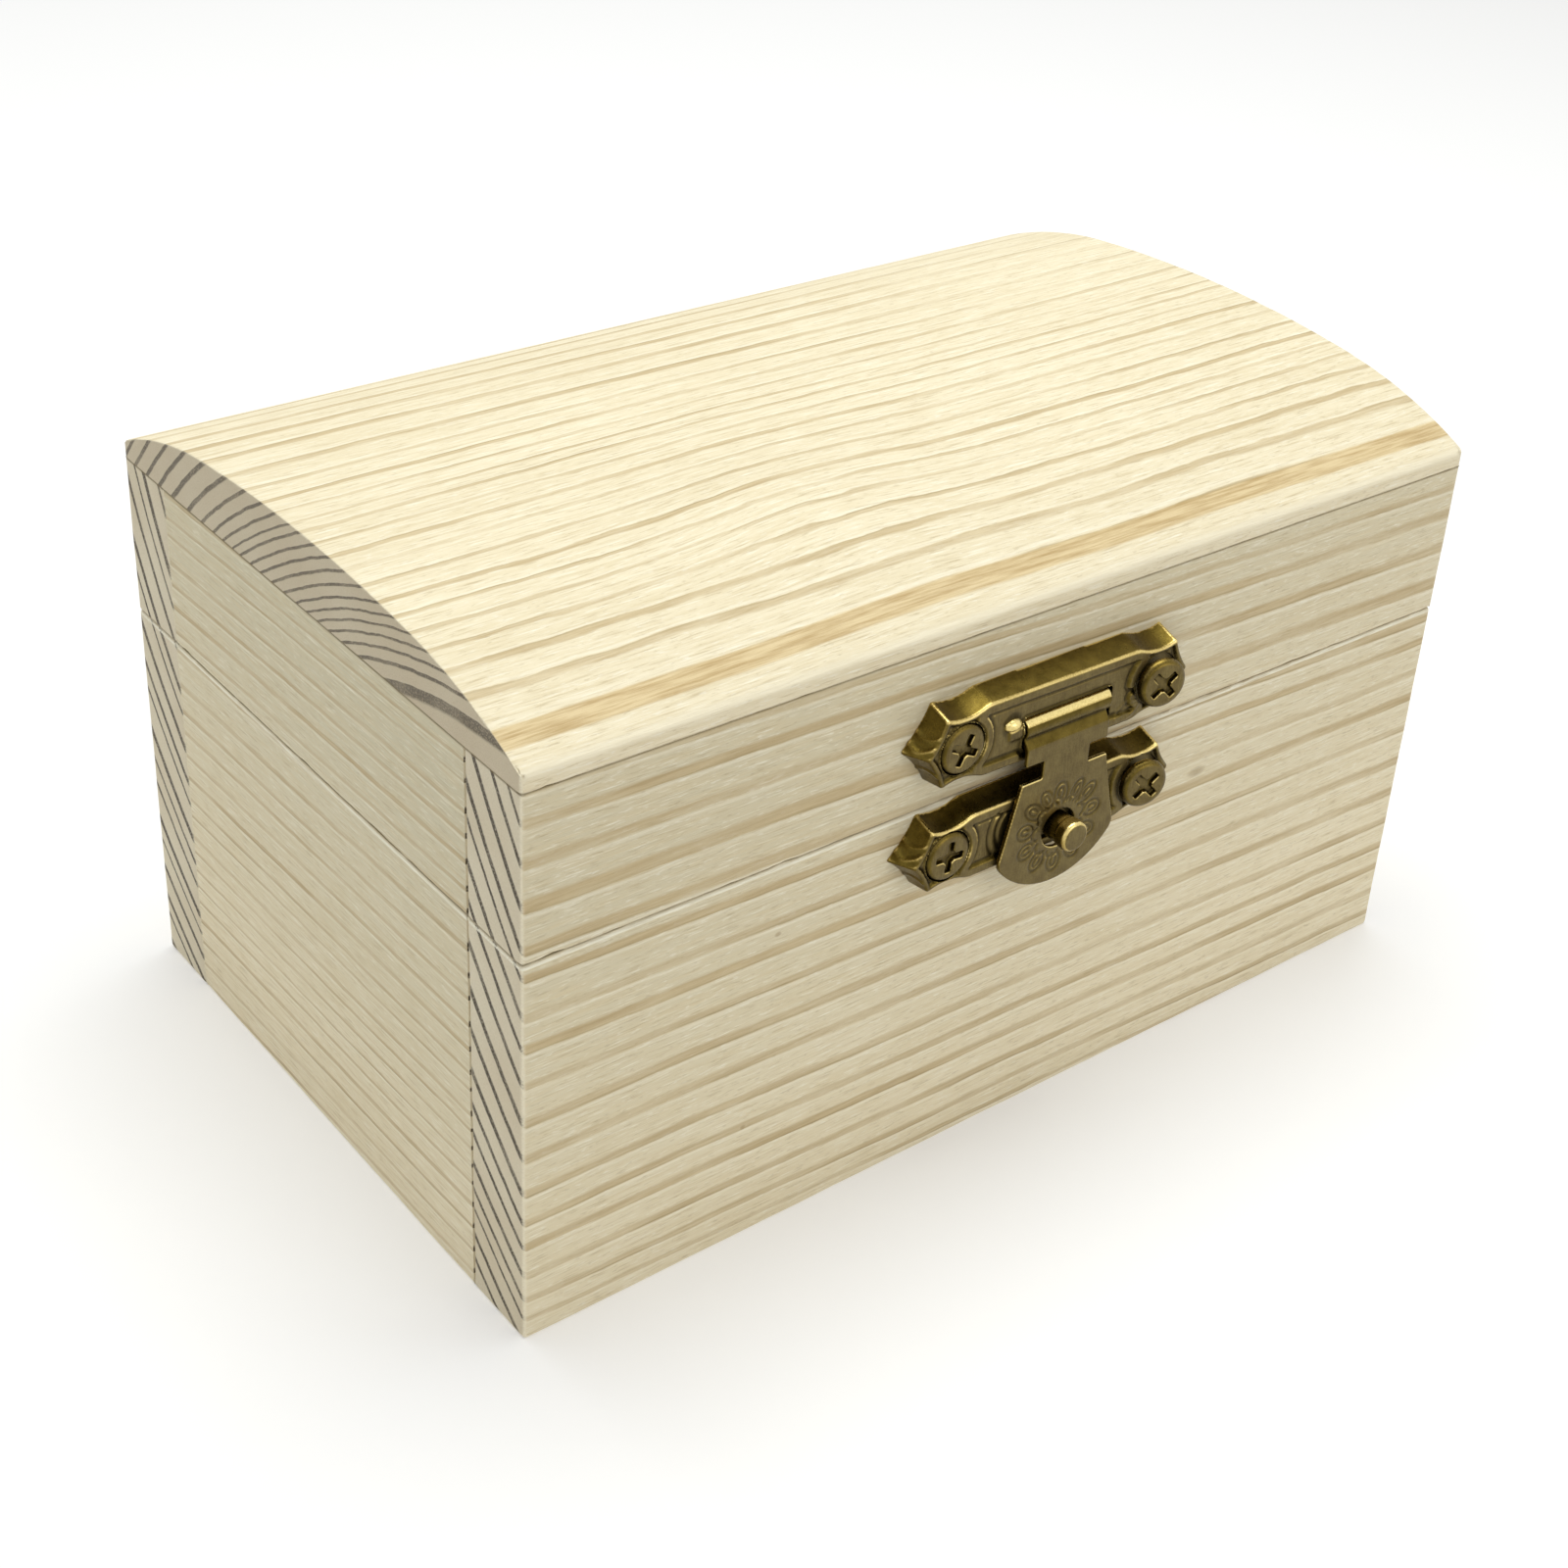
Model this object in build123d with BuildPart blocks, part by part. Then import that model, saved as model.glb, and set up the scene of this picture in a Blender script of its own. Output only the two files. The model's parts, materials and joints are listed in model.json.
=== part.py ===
import os

from build123d import *

# Treasure chest box: a pine box with an arched lid, a drop-over latch on the front and two
# butt hinges on the back. Millimetres. The origin is the centre of the underside, +X runs
# along the length, the front faces -Y and +Z is up.

# Boards
box_length = 120.0
box_depth = 75.0
wall = 9.0
base_height = 44.0
rail_height = 17.5
bottom_thickness = 3.0
sanded_edge = 0.5

# Top board: flat below, arched above, with a flat middle arc and a tighter one each side
top_edge = 1.8
crown_rise = 6.2
crown_radius = 180.0
crown_half_width = 20.0
crown_edge_round = 0.8

# Latch plates: pressed sheet shells that stand on the wood, one on the lid, one on the base
latch_sheet = 0.6
plate_stand = 2.8
plate_shoulder_reach = 10.0
plate_dip_reach = 12.4
plate_horn_reach = 15.1
plate_tip_reach = 18.4
plate_face_reach = 17.0
plate_dip = 0.65
plate_horn_drop = 0.2
plate_top_flare = 0.85
plate_bottom_flare = 0.35
plate_shoulder_round = 3.0
plate_corner_round = 0.3
plate_edge_round = 0.3
upper_plate_x = -0.35
upper_plate_rise = 7.25
upper_plate_height = 7.9
upper_plate_turn = -0.7
lower_plate_x = -0.95
lower_plate_drop = 4.55
lower_plate_height = 7.3

# The scallop between a plate's horn and its tip bends through a point at these shares of
# the way along and of the horn's height
scallop_along_share = 0.45
scallop_height_share = 0.42

# Latch flap: a sheet rolled round the pin, joggled outwards, then hanging over the stud
flap_x = 0.2
flap_gap = 0.2
flap_sheet = 0.5
pin_rise = 6.7
pin_stand = 1.9
pin_radius = 0.6
barrel_radius = 1.3
barrel_overhang = 0.4
tab_width = 10.8
crease_drop = 1.9
joggle_share = 0.5**0.5
notch_top_drop = 3.8
notch_bottom_drop = 5.8
neck_width = 6.1
shield_top_width = 11.2
shield_width = 15.6
shield_corner_drop = 14.7
shield_drop = 18.9
shield_corner_round = 1.6

# Window in the upper plate, where the barrel turns, and what holds the pin beside it
window_top_rise = 1.55
window_bottom_drop = 2.1
window_left_gap = 0.25
window_right_gap = 0.35
window_corner_round = 0.4
hump_radius = 1.2
hump_length = 2.0
knob_radius = 1.25
knob_rise = 1.2
knob_inset = 1.35
knob_depth = 0.55
lug_length = 1.8
pin_seat = 1.4

# Stud
stud_drop = 12.4
stud_neck_radius = 1.55
stud_nose_radius = 1.7
stud_nose_length = 1.4
stud_nose_round = 0.45
stud_stand = 6.1
stud_rivet_radius = 0.9
stud_rivet_head_radius = 1.25
stud_rivet_head = 0.6
stud_hole_radius = 2.2
stud_hole_lower = 0.2

# Latch screws: the right ones are driven askew, so their heads lean and stand proud
latch_screw_reach = 12.8
screw_seat_depth = 0.7
screw_seat_radius = 2.8
screw_head_radius = 2.7
screw_head_height = 0.95
screw_head_round = 0.7
screw_shank_radius = 1.1
screw_length = 8.0
screw_tip_length = 2.0
screw_point_radius = 0.25
cross_span = 3.4
cross_width = 0.75
cross_hub_radius = 0.75
cross_depth = 0.6
right_screw_lift = 1.3
right_screw_lean = -12
right_screw_shift = 0.12
upper_left_cross_turn = -25
lower_left_cross_turn = -5
right_cross_turn = 42

# Butt hinges
hinge_inset = 25.0
hinge_width = 16.0
leaf_height = 8.5
leaf_sheet = 0.8
leaf_corner_round = 1.2
knuckle_radius = 1.3
knuckle_gap = 0.12
hinge_pin_radius = 0.6
hinge_screw_spread = 4.6
hinge_screw_rise = 5.4
hinge_screw_head_radius = 1.5
hinge_screw_shank_radius = 0.75
hinge_screw_length = 6.0
hinge_screw_tip_length = 1.4
hinge_screw_point_radius = 0.2
hinge_cross_span = 1.8
hinge_cross_width = 0.5
hinge_cross_depth = 0.4
countersink_angle = 90

# Clearances
running_clearance = 0.06
fixed_clearance = 0.02
swing_clearance = 0.25
shank_clearance = 0.3
overrun = 1.0

# Places worked out from the sizes above
half_length = box_length / 2
half_depth = box_depth / 2
split_z = base_height
frame_top_z = split_z + rail_height
top_edge_z = frame_top_z + top_edge
crown_z = top_edge_z + crown_rise
inner_length = box_length - 2 * wall
inner_depth = box_depth - 2 * wall
upper_plate_z = split_z + upper_plate_rise
lower_plate_z = split_z - lower_plate_drop
pin_z = split_z + pin_rise
stud_z = pin_z - stud_drop
flap_back_stand = plate_stand + flap_gap
flap_face_stand = flap_back_stand + flap_sheet
barrel_width = tab_width + barrel_overhang
barrel_left_x = flap_x - tab_width / 2
window_left_x = barrel_left_x - window_left_gap
window_right_x = barrel_left_x + barrel_width + window_right_gap
window_top_z = pin_z + window_top_rise
window_bottom_z = pin_z - window_bottom_drop
screw_seat_stand = plate_stand - screw_seat_depth
hinge_spread = half_length - hinge_inset
hinge_axis_y = half_depth + knuckle_radius
knuckle_length = (hinge_width - 2 * knuckle_gap) / 3

parts_folder = "parts"
os.makedirs(parts_folder, exist_ok=True)


def keep(builder, name):
    """Label a finished piece and write its file."""
    builder.part.label = name
    export_step(builder.part, f"{parts_folder}/{name}.step")


def front_plane(x=0.0, z=0.0, stand=0.0):
    """Plane that faces forwards, stand in front of the box's front face; its y is +Z."""
    return Plane(origin=(x, -half_depth - stand, z), x_dir=(1, 0, 0), z_dir=(0, -1, 0))


def back_plane(x=0.0, z=0.0, stand=0.0):
    """Plane that faces backwards, stand behind the box's back face; its y is +Z."""
    return Plane(origin=(x, half_depth + stand, z), x_dir=(-1, 0, 0), z_dir=(0, 1, 0))


def turned(plane, angle):
    """The plane turned about its own normal, anticlockwise, in degrees."""
    return Plane(plane.location * Rot(0, 0, angle))


def side_plane(x=0.0):
    """Plane that faces +X; its x is +Y and its y is +Z."""
    return Plane(origin=(x, 0, 0), x_dir=(0, 1, 0), z_dir=(1, 0, 0))


def end_board(x, bottom_z, height):
    """Board between the front and back boards, flush with their ends."""
    with BuildPart() as board:
        with BuildSketch(Plane.XY.offset(bottom_z)):
            with Locations((x, 0)):
                Rectangle(wall, inner_depth)
        extrude(amount=height)
    return board


def long_edge(board, y, z):
    """The board's edge along X nearest to the given y and z."""
    lengthwise = board.edges().filter_by(Axis.X)
    return min(lengthwise, key=lambda edge: abs(edge.center().Y - y) + abs(edge.center().Z - z))


# Where the boards stand, and the pilot holes for the screws that they hold
board_y = half_depth - wall / 2
end_x = half_length - wall / 2
pilot_radius = screw_shank_radius + fixed_clearance
pilot_depth = screw_length + fixed_clearance
hinge_pilot_radius = hinge_screw_shank_radius + fixed_clearance
hinge_pilot_depth = hinge_screw_length - leaf_sheet + fixed_clearance


# Planes on the wood under the latch plates; their x runs along the plate
upper_plate = turned(front_plane(upper_plate_x, upper_plate_z), upper_plate_turn)
lower_plate = front_plane(lower_plate_x, lower_plate_z)


def screw_seat(plate, side):
    """Plane under the head of a plate's left (side = -1) or right (side = 1) screw."""
    askew = (right_screw_shift, right_screw_lift, right_screw_lean)
    shift, lift, lean = askew if side > 0 else (0, 0, 0)
    sheet_middle = Pos(side * latch_screw_reach + shift, 0, screw_seat_stand - latch_sheet / 2)
    return Plane(plate.location * sheet_middle * Rot(0, lean, 0)).offset(latch_sheet / 2 + lift)


def front_board(bottom_z, height, plate):
    """Full-length board at the front, drilled for a latch plate's two screws."""
    with BuildPart() as board:
        with BuildSketch(Plane.XY.offset(bottom_z)):
            with Locations((0, -board_y)):
                Rectangle(box_length, wall)
        extrude(amount=height)
        fillet(board.edges().filter_by(Axis.Z).sort_by(Axis.Y)[:2], sanded_edge)
        for side in (-1, 1):
            with BuildSketch(screw_seat(plate, side)):
                Circle(pilot_radius)
            extrude(amount=-pilot_depth, mode=Mode.SUBTRACT)
    return board


def back_board(bottom_z, height, screw_z):
    """Full-length board at the back, drilled for one leaf of each hinge."""
    with BuildPart() as board:
        with BuildSketch(Plane.XY.offset(bottom_z)):
            with Locations((0, board_y)):
                Rectangle(box_length, wall)
        extrude(amount=height)
        fillet(board.edges().filter_by(Axis.Z).sort_by(Axis.Y)[-2:], sanded_edge)
        with BuildSketch(back_plane(0, screw_z)):
            with GridLocations(2 * hinge_spread, 0, 2, 1):
                with Locations((-hinge_screw_spread, 0), (hinge_screw_spread, 0)):
                    Circle(hinge_pilot_radius)
        extrude(amount=-hinge_pilot_depth, mode=Mode.SUBTRACT)
        fillet(long_edge(board, half_depth, split_z), sanded_edge)
    return board


def make_base():
    """The base: four boards and the thin panel that closes it below."""
    front_blank = front_board(0, base_height, lower_plate)
    with BuildPart() as front:
        add(front_blank.part)
        fillet(long_edge(front, -half_depth, 0), sanded_edge)
    keep(front, "base_front_board")
    back_blank = back_board(0, base_height, split_z - hinge_screw_rise)
    with BuildPart() as back:
        add(back_blank.part)
        fillet(long_edge(back, half_depth, 0), sanded_edge)
    keep(back, "base_back_board")
    keep(end_board(-end_x, 0, base_height), "base_left_end")
    keep(end_board(end_x, 0, base_height), "base_right_end")
    with BuildPart() as panel:
        with BuildSketch(Plane.XY):
            Rectangle(inner_length, inner_depth)
        extrude(amount=bottom_thickness)
    keep(panel, "base_bottom_panel")


def make_lid_frame():
    """The lid's frame: two rails and two ends, sawn from the same boards as the base."""
    keep(front_board(split_z, rail_height, upper_plate), "lid_front_rail")
    keep(back_board(split_z, rail_height, split_z + hinge_screw_rise), "lid_back_rail")
    keep(end_board(-end_x, split_z, rail_height), "lid_left_end")
    keep(end_board(end_x, split_z, rail_height), "lid_right_end")


def make_top_board():
    """The arched top board."""
    crown_drop = crown_radius - (crown_radius**2 - crown_half_width**2) ** 0.5
    shoulder_z = crown_z - crown_drop
    slope = crown_half_width / (crown_radius**2 - crown_half_width**2) ** 0.5
    with BuildPart() as board:
        with BuildSketch(side_plane(-half_length)):
            with BuildLine():
                Line((-half_depth, top_edge_z), (-half_depth, frame_top_z))
                Line((-half_depth, frame_top_z), (half_depth, frame_top_z))
                Line((half_depth, frame_top_z), (half_depth, top_edge_z))
                ThreePointArc(
                    (-crown_half_width, shoulder_z), (0, crown_z), (crown_half_width, shoulder_z)
                )
                TangentArc(
                    (crown_half_width, shoulder_z), (half_depth, top_edge_z), tangent=(1, -slope)
                )
                TangentArc(
                    (-crown_half_width, shoulder_z), (-half_depth, top_edge_z), tangent=(-1, -slope)
                )
            make_face()
        extrude(amount=box_length)
        fillet(long_edge(board, -half_depth, top_edge_z), crown_edge_round)
        fillet(long_edge(board, half_depth, top_edge_z), crown_edge_round)
        corners = board.edges().filter_by(Axis.Z)
        fillet(corners, sanded_edge)
    keep(board, "lid_top_board")


def plate_outline(tip_reach, top, bottom):
    """Outline of a latch plate: straight middle, a dip by each screw, horns and a pointed tip."""
    bend_x = plate_horn_reach + (tip_reach - plate_horn_reach) * scallop_along_share
    for up, reach in ((1, top), (-1, bottom)):
        dip_height = reach - plate_dip
        horn_height = reach - plate_horn_drop
        bend_height = horn_height * scallop_height_share
        Line((-plate_shoulder_reach, up * reach), (plate_shoulder_reach, up * reach))
        for side in (-1, 1):
            shoulder = (side * plate_shoulder_reach, up * reach)
            horn = (side * plate_horn_reach, up * horn_height)
            ThreePointArc(shoulder, (side * plate_dip_reach, up * dip_height), horn)
            ThreePointArc(horn, (side * bend_x, up * bend_height), (side * tip_reach, 0))


def beyond(vertex):
    """How far a vertex of a plate's outline is from the plate's middle, along the plate."""
    return abs(vertex.X)


def plate_shell(plate, height):
    """A latch plate's pressed shell with a recessed seat and a hole for each screw."""
    half_height = height / 2
    seat_underside = screw_seat_stand - latch_sheet
    seats = [(-latch_screw_reach, 0), (latch_screw_reach, 0)]
    with BuildPart() as shell:
        with BuildSketch(plate) as foot:
            with BuildLine():
                plate_outline(
                    plate_tip_reach,
                    half_height + plate_top_flare,
                    half_height + plate_bottom_flare,
                )
            make_face()
            fillet(foot.vertices().sort_by(beyond)[-6:], plate_corner_round)
            fillet(foot.vertices().sort_by(beyond)[:4], plate_shoulder_round)
        with BuildSketch(plate.offset(plate_stand)) as face:
            with BuildLine():
                plate_outline(plate_face_reach, half_height, half_height)
            make_face()
            fillet(face.vertices().sort_by(beyond)[-6:], plate_corner_round)
            fillet(face.vertices().sort_by(beyond)[:4], plate_shoulder_round)
        loft(ruled=True)
        rim = shell.faces().sort_by(Axis.Y)[0].edges()
        fillet(rim, plate_edge_round)
        with BuildSketch(plate):
            with BuildLine():
                plate_outline(plate_face_reach, half_height, half_height)
            make_face()
            offset(amount=-latch_sheet, kind=Kind.INTERSECTION)
        extrude(amount=seat_underside, mode=Mode.SUBTRACT)
        with BuildSketch(plate.offset(seat_underside)):
            with BuildLine():
                plate_outline(plate_face_reach, half_height, half_height)
            make_face()
            offset(amount=-latch_sheet, kind=Kind.INTERSECTION)
            with Locations(*seats):
                Circle(screw_seat_radius + latch_sheet, mode=Mode.SUBTRACT)
        extrude(amount=plate_stand - latch_sheet - seat_underside, mode=Mode.SUBTRACT)
        with BuildSketch(plate.offset(screw_seat_stand)):
            with Locations(*seats):
                Circle(screw_seat_radius)
        extrude(amount=screw_seat_depth + overrun, mode=Mode.SUBTRACT)
        with BuildSketch(plate):
            with Locations(*seats):
                Circle(screw_shank_radius + shank_clearance)
        extrude(amount=plate_stand, mode=Mode.SUBTRACT)
    return shell


def pin_hump():
    """The round-nosed hump in the upper plate's sheet over the pin's left end."""
    with BuildPart() as hump:
        with BuildSketch(side_plane(window_left_x - hump_length)):
            with Locations((-half_depth - pin_stand, pin_z)):
                Circle(hump_radius)
        extrude(amount=hump_length)
        free_end = hump.faces().sort_by(Axis.X)[0].edges()
        fillet(free_end, hump_radius - latch_sheet)
    return hump


def make_upper_plate():
    """The lid's plate: a window for the flap's barrel, with a hump and a lug for its pin."""
    window_width = window_right_x - window_left_x
    window_height = window_top_z - window_bottom_z
    window_x = (window_right_x + window_left_x) / 2
    window_z = (window_top_z + window_bottom_z) / 2
    pin_y = -half_depth - pin_stand
    lug_height = 2 * hump_radius
    lug_stand = plate_stand - latch_sheet
    shell = plate_shell(upper_plate, upper_plate_height)
    hump = pin_hump()
    knob_y = -half_depth - plate_stand + knob_depth
    with BuildPart() as plate:
        add(shell.part)
        add(hump.part)
        with BuildSketch(front_plane(window_right_x + lug_length / 2, pin_z, pin_stand - hump_radius)):
            Rectangle(lug_length, lug_height)
        extrude(amount=lug_stand - pin_stand + hump_radius)
        with Locations((window_left_x - knob_inset, knob_y, pin_z + knob_rise)):
            Sphere(knob_radius)
        with BuildSketch(front_plane(window_x, window_z)):
            RectangleRounded(window_width, window_height, window_corner_round)
        extrude(amount=plate_stand + overrun, mode=Mode.SUBTRACT)
        with BuildSketch(side_plane(window_left_x - pin_seat)):
            with Locations((pin_y, pin_z)):
                Circle(pin_radius + fixed_clearance)
        extrude(amount=window_width + pin_seat + lug_length, mode=Mode.SUBTRACT)
    keep(plate, "latch_upper_plate")


def make_latch_pin():
    """The pin that the flap turns on."""
    start_x = window_left_x - pin_seat + fixed_clearance
    end_x_pin = window_right_x + lug_length
    with BuildPart() as pin:
        with BuildSketch(side_plane(start_x)):
            with Locations((-half_depth - pin_stand, pin_z)):
                Circle(pin_radius)
        extrude(amount=end_x_pin - start_x)
    keep(pin, "latch_pin")


def make_lower_plate():
    """The base's plate, with a hole for the stud's rivet end."""
    shell = plate_shell(lower_plate, lower_plate_height)
    with BuildPart() as plate:
        add(shell.part)
        with BuildSketch(front_plane(flap_x, stud_z)):
            Circle(stud_rivet_radius + fixed_clearance)
        extrude(amount=plate_stand + overrun, mode=Mode.SUBTRACT)
    keep(plate, "latch_lower_plate")


def make_stud():
    """The stud: a neck, a wider rounded nose, and a rivet end peened behind the sheet."""
    nose_stand = stud_stand - stud_nose_length
    rivet_stand = plate_stand - latch_sheet
    with BuildPart() as stud:
        with BuildSketch(front_plane(flap_x, stud_z, plate_stand)):
            Circle(stud_neck_radius)
        extrude(amount=nose_stand - plate_stand)
        with BuildSketch(front_plane(flap_x, stud_z, nose_stand)):
            Circle(stud_nose_radius)
        extrude(amount=stud_nose_length)
        tip = stud.faces().sort_by(Axis.Y)[0].edges()
        fillet(tip, stud_nose_round)
        with BuildSketch(front_plane(flap_x, stud_z, rivet_stand)):
            Circle(stud_rivet_radius)
        extrude(amount=latch_sheet)
        with BuildSketch(front_plane(flap_x, stud_z, rivet_stand)):
            Circle(stud_rivet_head_radius)
        extrude(amount=-stud_rivet_head)
    keep(stud, "latch_stud")


def flap_outline():
    """Outline of the flap from the front: tab, two notches that leave a neck, bell-shaped shield."""
    tab = tab_width / 2
    neck = neck_width / 2
    top = shield_top_width / 2
    corner = shield_width / 2
    for side in (-1, 1):
        Polyline(
            (side * tab, 0),
            (side * tab, -notch_top_drop),
            (side * neck, -notch_top_drop),
            (side * neck, -notch_bottom_drop),
            (side * top, -notch_bottom_drop),
            (side * corner, -shield_corner_drop),
        )
    Line((-tab, 0), (tab, 0))
    ThreePointArc((-corner, -shield_corner_drop), (0, -shield_drop), (corner, -shield_corner_drop))


def make_flap():
    """The flap: side profile over its full width, trimmed to its outline, with a rolled barrel."""
    pin_y = -half_depth - pin_stand
    pin_place = (pin_y, pin_z)
    under_y = pin_y - barrel_radius * joggle_share
    under_z = pin_z - barrel_radius * joggle_share
    crease_z = pin_z - crease_drop
    foot_z = pin_z - shield_drop - overrun
    with BuildPart() as flap:
        with BuildSketch(side_plane(flap_x - shield_width)):
            with BuildLine():
                Polyline(
                    (under_y, under_z),
                    (-half_depth - flap_face_stand, crease_z),
                    (-half_depth - flap_face_stand, foot_z),
                    (-half_depth - flap_back_stand, foot_z),
                    (-half_depth - flap_back_stand, crease_z - joggle_share * flap_sheet),
                    (under_y + joggle_share * flap_sheet, under_z - joggle_share * flap_sheet),
                    pin_place,
                    close=True,
                )
            make_face()
        extrude(amount=2 * shield_width)
        with BuildSketch(front_plane(flap_x, pin_z)):
            with BuildLine():
                flap_outline()
            make_face()
        extrude(amount=flap_face_stand + overrun, mode=Mode.INTERSECT)
        foot_corners = flap.edges().filter_by(Axis.Y).group_by(Axis.Z)[0]
        fillet(foot_corners, shield_corner_round)
        with BuildSketch(side_plane(barrel_left_x)):
            with Locations(pin_place):
                Circle(barrel_radius)
        extrude(amount=barrel_width)
        with BuildSketch(side_plane(barrel_left_x)):
            with Locations(pin_place):
                Circle(pin_radius + running_clearance)
        extrude(amount=barrel_width, mode=Mode.SUBTRACT)
        with BuildSketch(front_plane(flap_x, stud_z - stud_hole_lower, plate_stand)):
            Circle(stud_hole_radius)
        extrude(amount=stud_stand, mode=Mode.SUBTRACT)
    keep(flap, "latch_flap")


def cross(plane, span, width, hub_radius):
    """Outline of a cross-shaped driver recess with a round middle."""
    with BuildSketch(plane) as outline:
        Rectangle(span, width)
        Rectangle(width, span)
        Circle(hub_radius)
    return outline.sketch


def make_latch_screw(name, seat, turn):
    """Round-headed wood screw on its seat's plane; turn is its cross recess's angle."""
    shank = screw_length - screw_tip_length
    with BuildPart() as screw:
        with BuildSketch(seat):
            Circle(screw_head_radius)
        extrude(amount=screw_head_height)
        fillet(screw.faces().sort_by(Axis.Y)[0].edges(), screw_head_round)
        with BuildSketch(seat):
            Circle(screw_shank_radius)
        extrude(amount=-shank)
        with BuildSketch(seat.offset(-shank)):
            Circle(screw_shank_radius)
        with BuildSketch(seat.offset(-screw_length)):
            Circle(screw_point_radius)
        loft()
        head_face = turned(seat.offset(screw_head_height), turn)
        recess = cross(head_face, cross_span, cross_width, cross_hub_radius)
        extrude(recess, amount=-cross_depth, mode=Mode.SUBTRACT)
    keep(screw, name)


def make_leaf(name, x, up):
    """Hinge leaf above (up = 1) or below (up = -1) the saw cut, with its knuckles."""
    inner = -hinge_width / 2 + knuckle_length + knuckle_gap
    middle = [(inner, knuckle_length)]
    outer = [(-hinge_width / 2, knuckle_length), (hinge_width / 2 - knuckle_length, knuckle_length)]
    own, others = (middle, outer) if up > 0 else (outer, middle)
    notch = knuckle_radius + swing_clearance
    with BuildPart() as leaf:
        with BuildSketch(back_plane(x, split_z + up * leaf_height / 2)):
            Rectangle(hinge_width, leaf_height)
        extrude(amount=leaf_sheet)
        free_edge = leaf.edges().filter_by(Axis.Y).group_by(Axis.Z)[-1 if up > 0 else 0]
        fillet(free_edge, leaf_corner_round)
        for start, length in others:
            with BuildSketch(back_plane(x - start - length / 2, split_z)):
                Rectangle(length + 2 * knuckle_gap, 2 * notch)
            extrude(amount=leaf_sheet, mode=Mode.SUBTRACT)
        for start, length in own:
            with BuildSketch(side_plane(x - start - length)):
                with Locations((hinge_axis_y, split_z)):
                    Circle(knuckle_radius)
            extrude(amount=length)
        bore = hinge_pin_radius + (running_clearance if up > 0 else fixed_clearance)
        with BuildSketch(side_plane(x - hinge_width / 2)):
            with Locations((hinge_axis_y, split_z)):
                Circle(bore)
        extrude(amount=hinge_width, mode=Mode.SUBTRACT)
        with Locations(back_plane(x, split_z + up * hinge_screw_rise, leaf_sheet)):
            with Locations((-hinge_screw_spread, 0), (hinge_screw_spread, 0)):
                CounterSinkHole(
                    hinge_screw_shank_radius + running_clearance,
                    hinge_screw_head_radius + running_clearance,
                    leaf_sheet,
                    countersink_angle,
                )
    keep(leaf, name)


def make_hinge_pin(name, x):
    """The pin through a hinge's three knuckles."""
    with BuildPart() as pin:
        with BuildSketch(side_plane(x - hinge_width / 2)):
            with Locations((hinge_axis_y, split_z)):
                Circle(hinge_pin_radius)
        extrude(amount=hinge_width)
    keep(pin, name)


def make_hinge_screw(name, x, z):
    """Flat-headed wood screw in a hinge leaf, its head level with the leaf."""
    head_depth = hinge_screw_head_radius - hinge_screw_shank_radius
    shank_end = hinge_screw_length - hinge_screw_tip_length
    with BuildPart() as screw:
        with BuildSketch(back_plane(x, z, leaf_sheet)):
            Circle(hinge_screw_head_radius)
        with BuildSketch(back_plane(x, z, leaf_sheet - head_depth)):
            Circle(hinge_screw_shank_radius)
        loft()
        with BuildSketch(back_plane(x, z, leaf_sheet - head_depth)):
            Circle(hinge_screw_shank_radius)
        extrude(amount=head_depth - shank_end)
        with BuildSketch(back_plane(x, z, leaf_sheet - shank_end)):
            Circle(hinge_screw_shank_radius)
        with BuildSketch(back_plane(x, z, leaf_sheet - hinge_screw_length)):
            Circle(hinge_screw_point_radius)
        loft()
        head_face = back_plane(x, z, leaf_sheet)
        recess = cross(head_face, hinge_cross_span, hinge_cross_width, hinge_cross_width)
        extrude(recess, amount=-hinge_cross_depth, mode=Mode.SUBTRACT)
    keep(screw, name)


def make_hinges():
    """Two butt hinges with their pins and screws."""
    for hinge_side, hinge_x in (("left", -hinge_spread), ("right", hinge_spread)):
        make_leaf(f"{hinge_side}_hinge_lid_leaf", hinge_x, 1)
        make_leaf(f"{hinge_side}_hinge_base_leaf", hinge_x, -1)
        make_hinge_pin(f"{hinge_side}_hinge_pin", hinge_x)
        for leaf_name, up in (("lid", 1), ("base", -1)):
            for screw_side, side in (("a", -1), ("b", 1)):
                make_hinge_screw(
                    f"{hinge_side}_hinge_{leaf_name}_screw_{screw_side}",
                    hinge_x + side * hinge_screw_spread,
                    split_z + up * hinge_screw_rise,
                )


make_base()
make_lid_frame()
make_top_board()
make_upper_plate()
make_latch_pin()
make_lower_plate()
make_stud()
make_flap()
for screw_name, screw_plate, screw_side, cross_turn in (
    ("latch_upper_screw_left", upper_plate, -1, upper_left_cross_turn),
    ("latch_upper_screw_right", upper_plate, 1, right_cross_turn),
    ("latch_lower_screw_left", lower_plate, -1, lower_left_cross_turn),
    ("latch_lower_screw_right", lower_plate, 1, right_cross_turn),
):
    make_latch_screw(screw_name, screw_seat(screw_plate, screw_side), cross_turn)
make_hinges()
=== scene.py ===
import json
import math

import bmesh
import bpy
import numpy as np
from mathutils import Matrix, Vector, kdtree, noise

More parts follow.
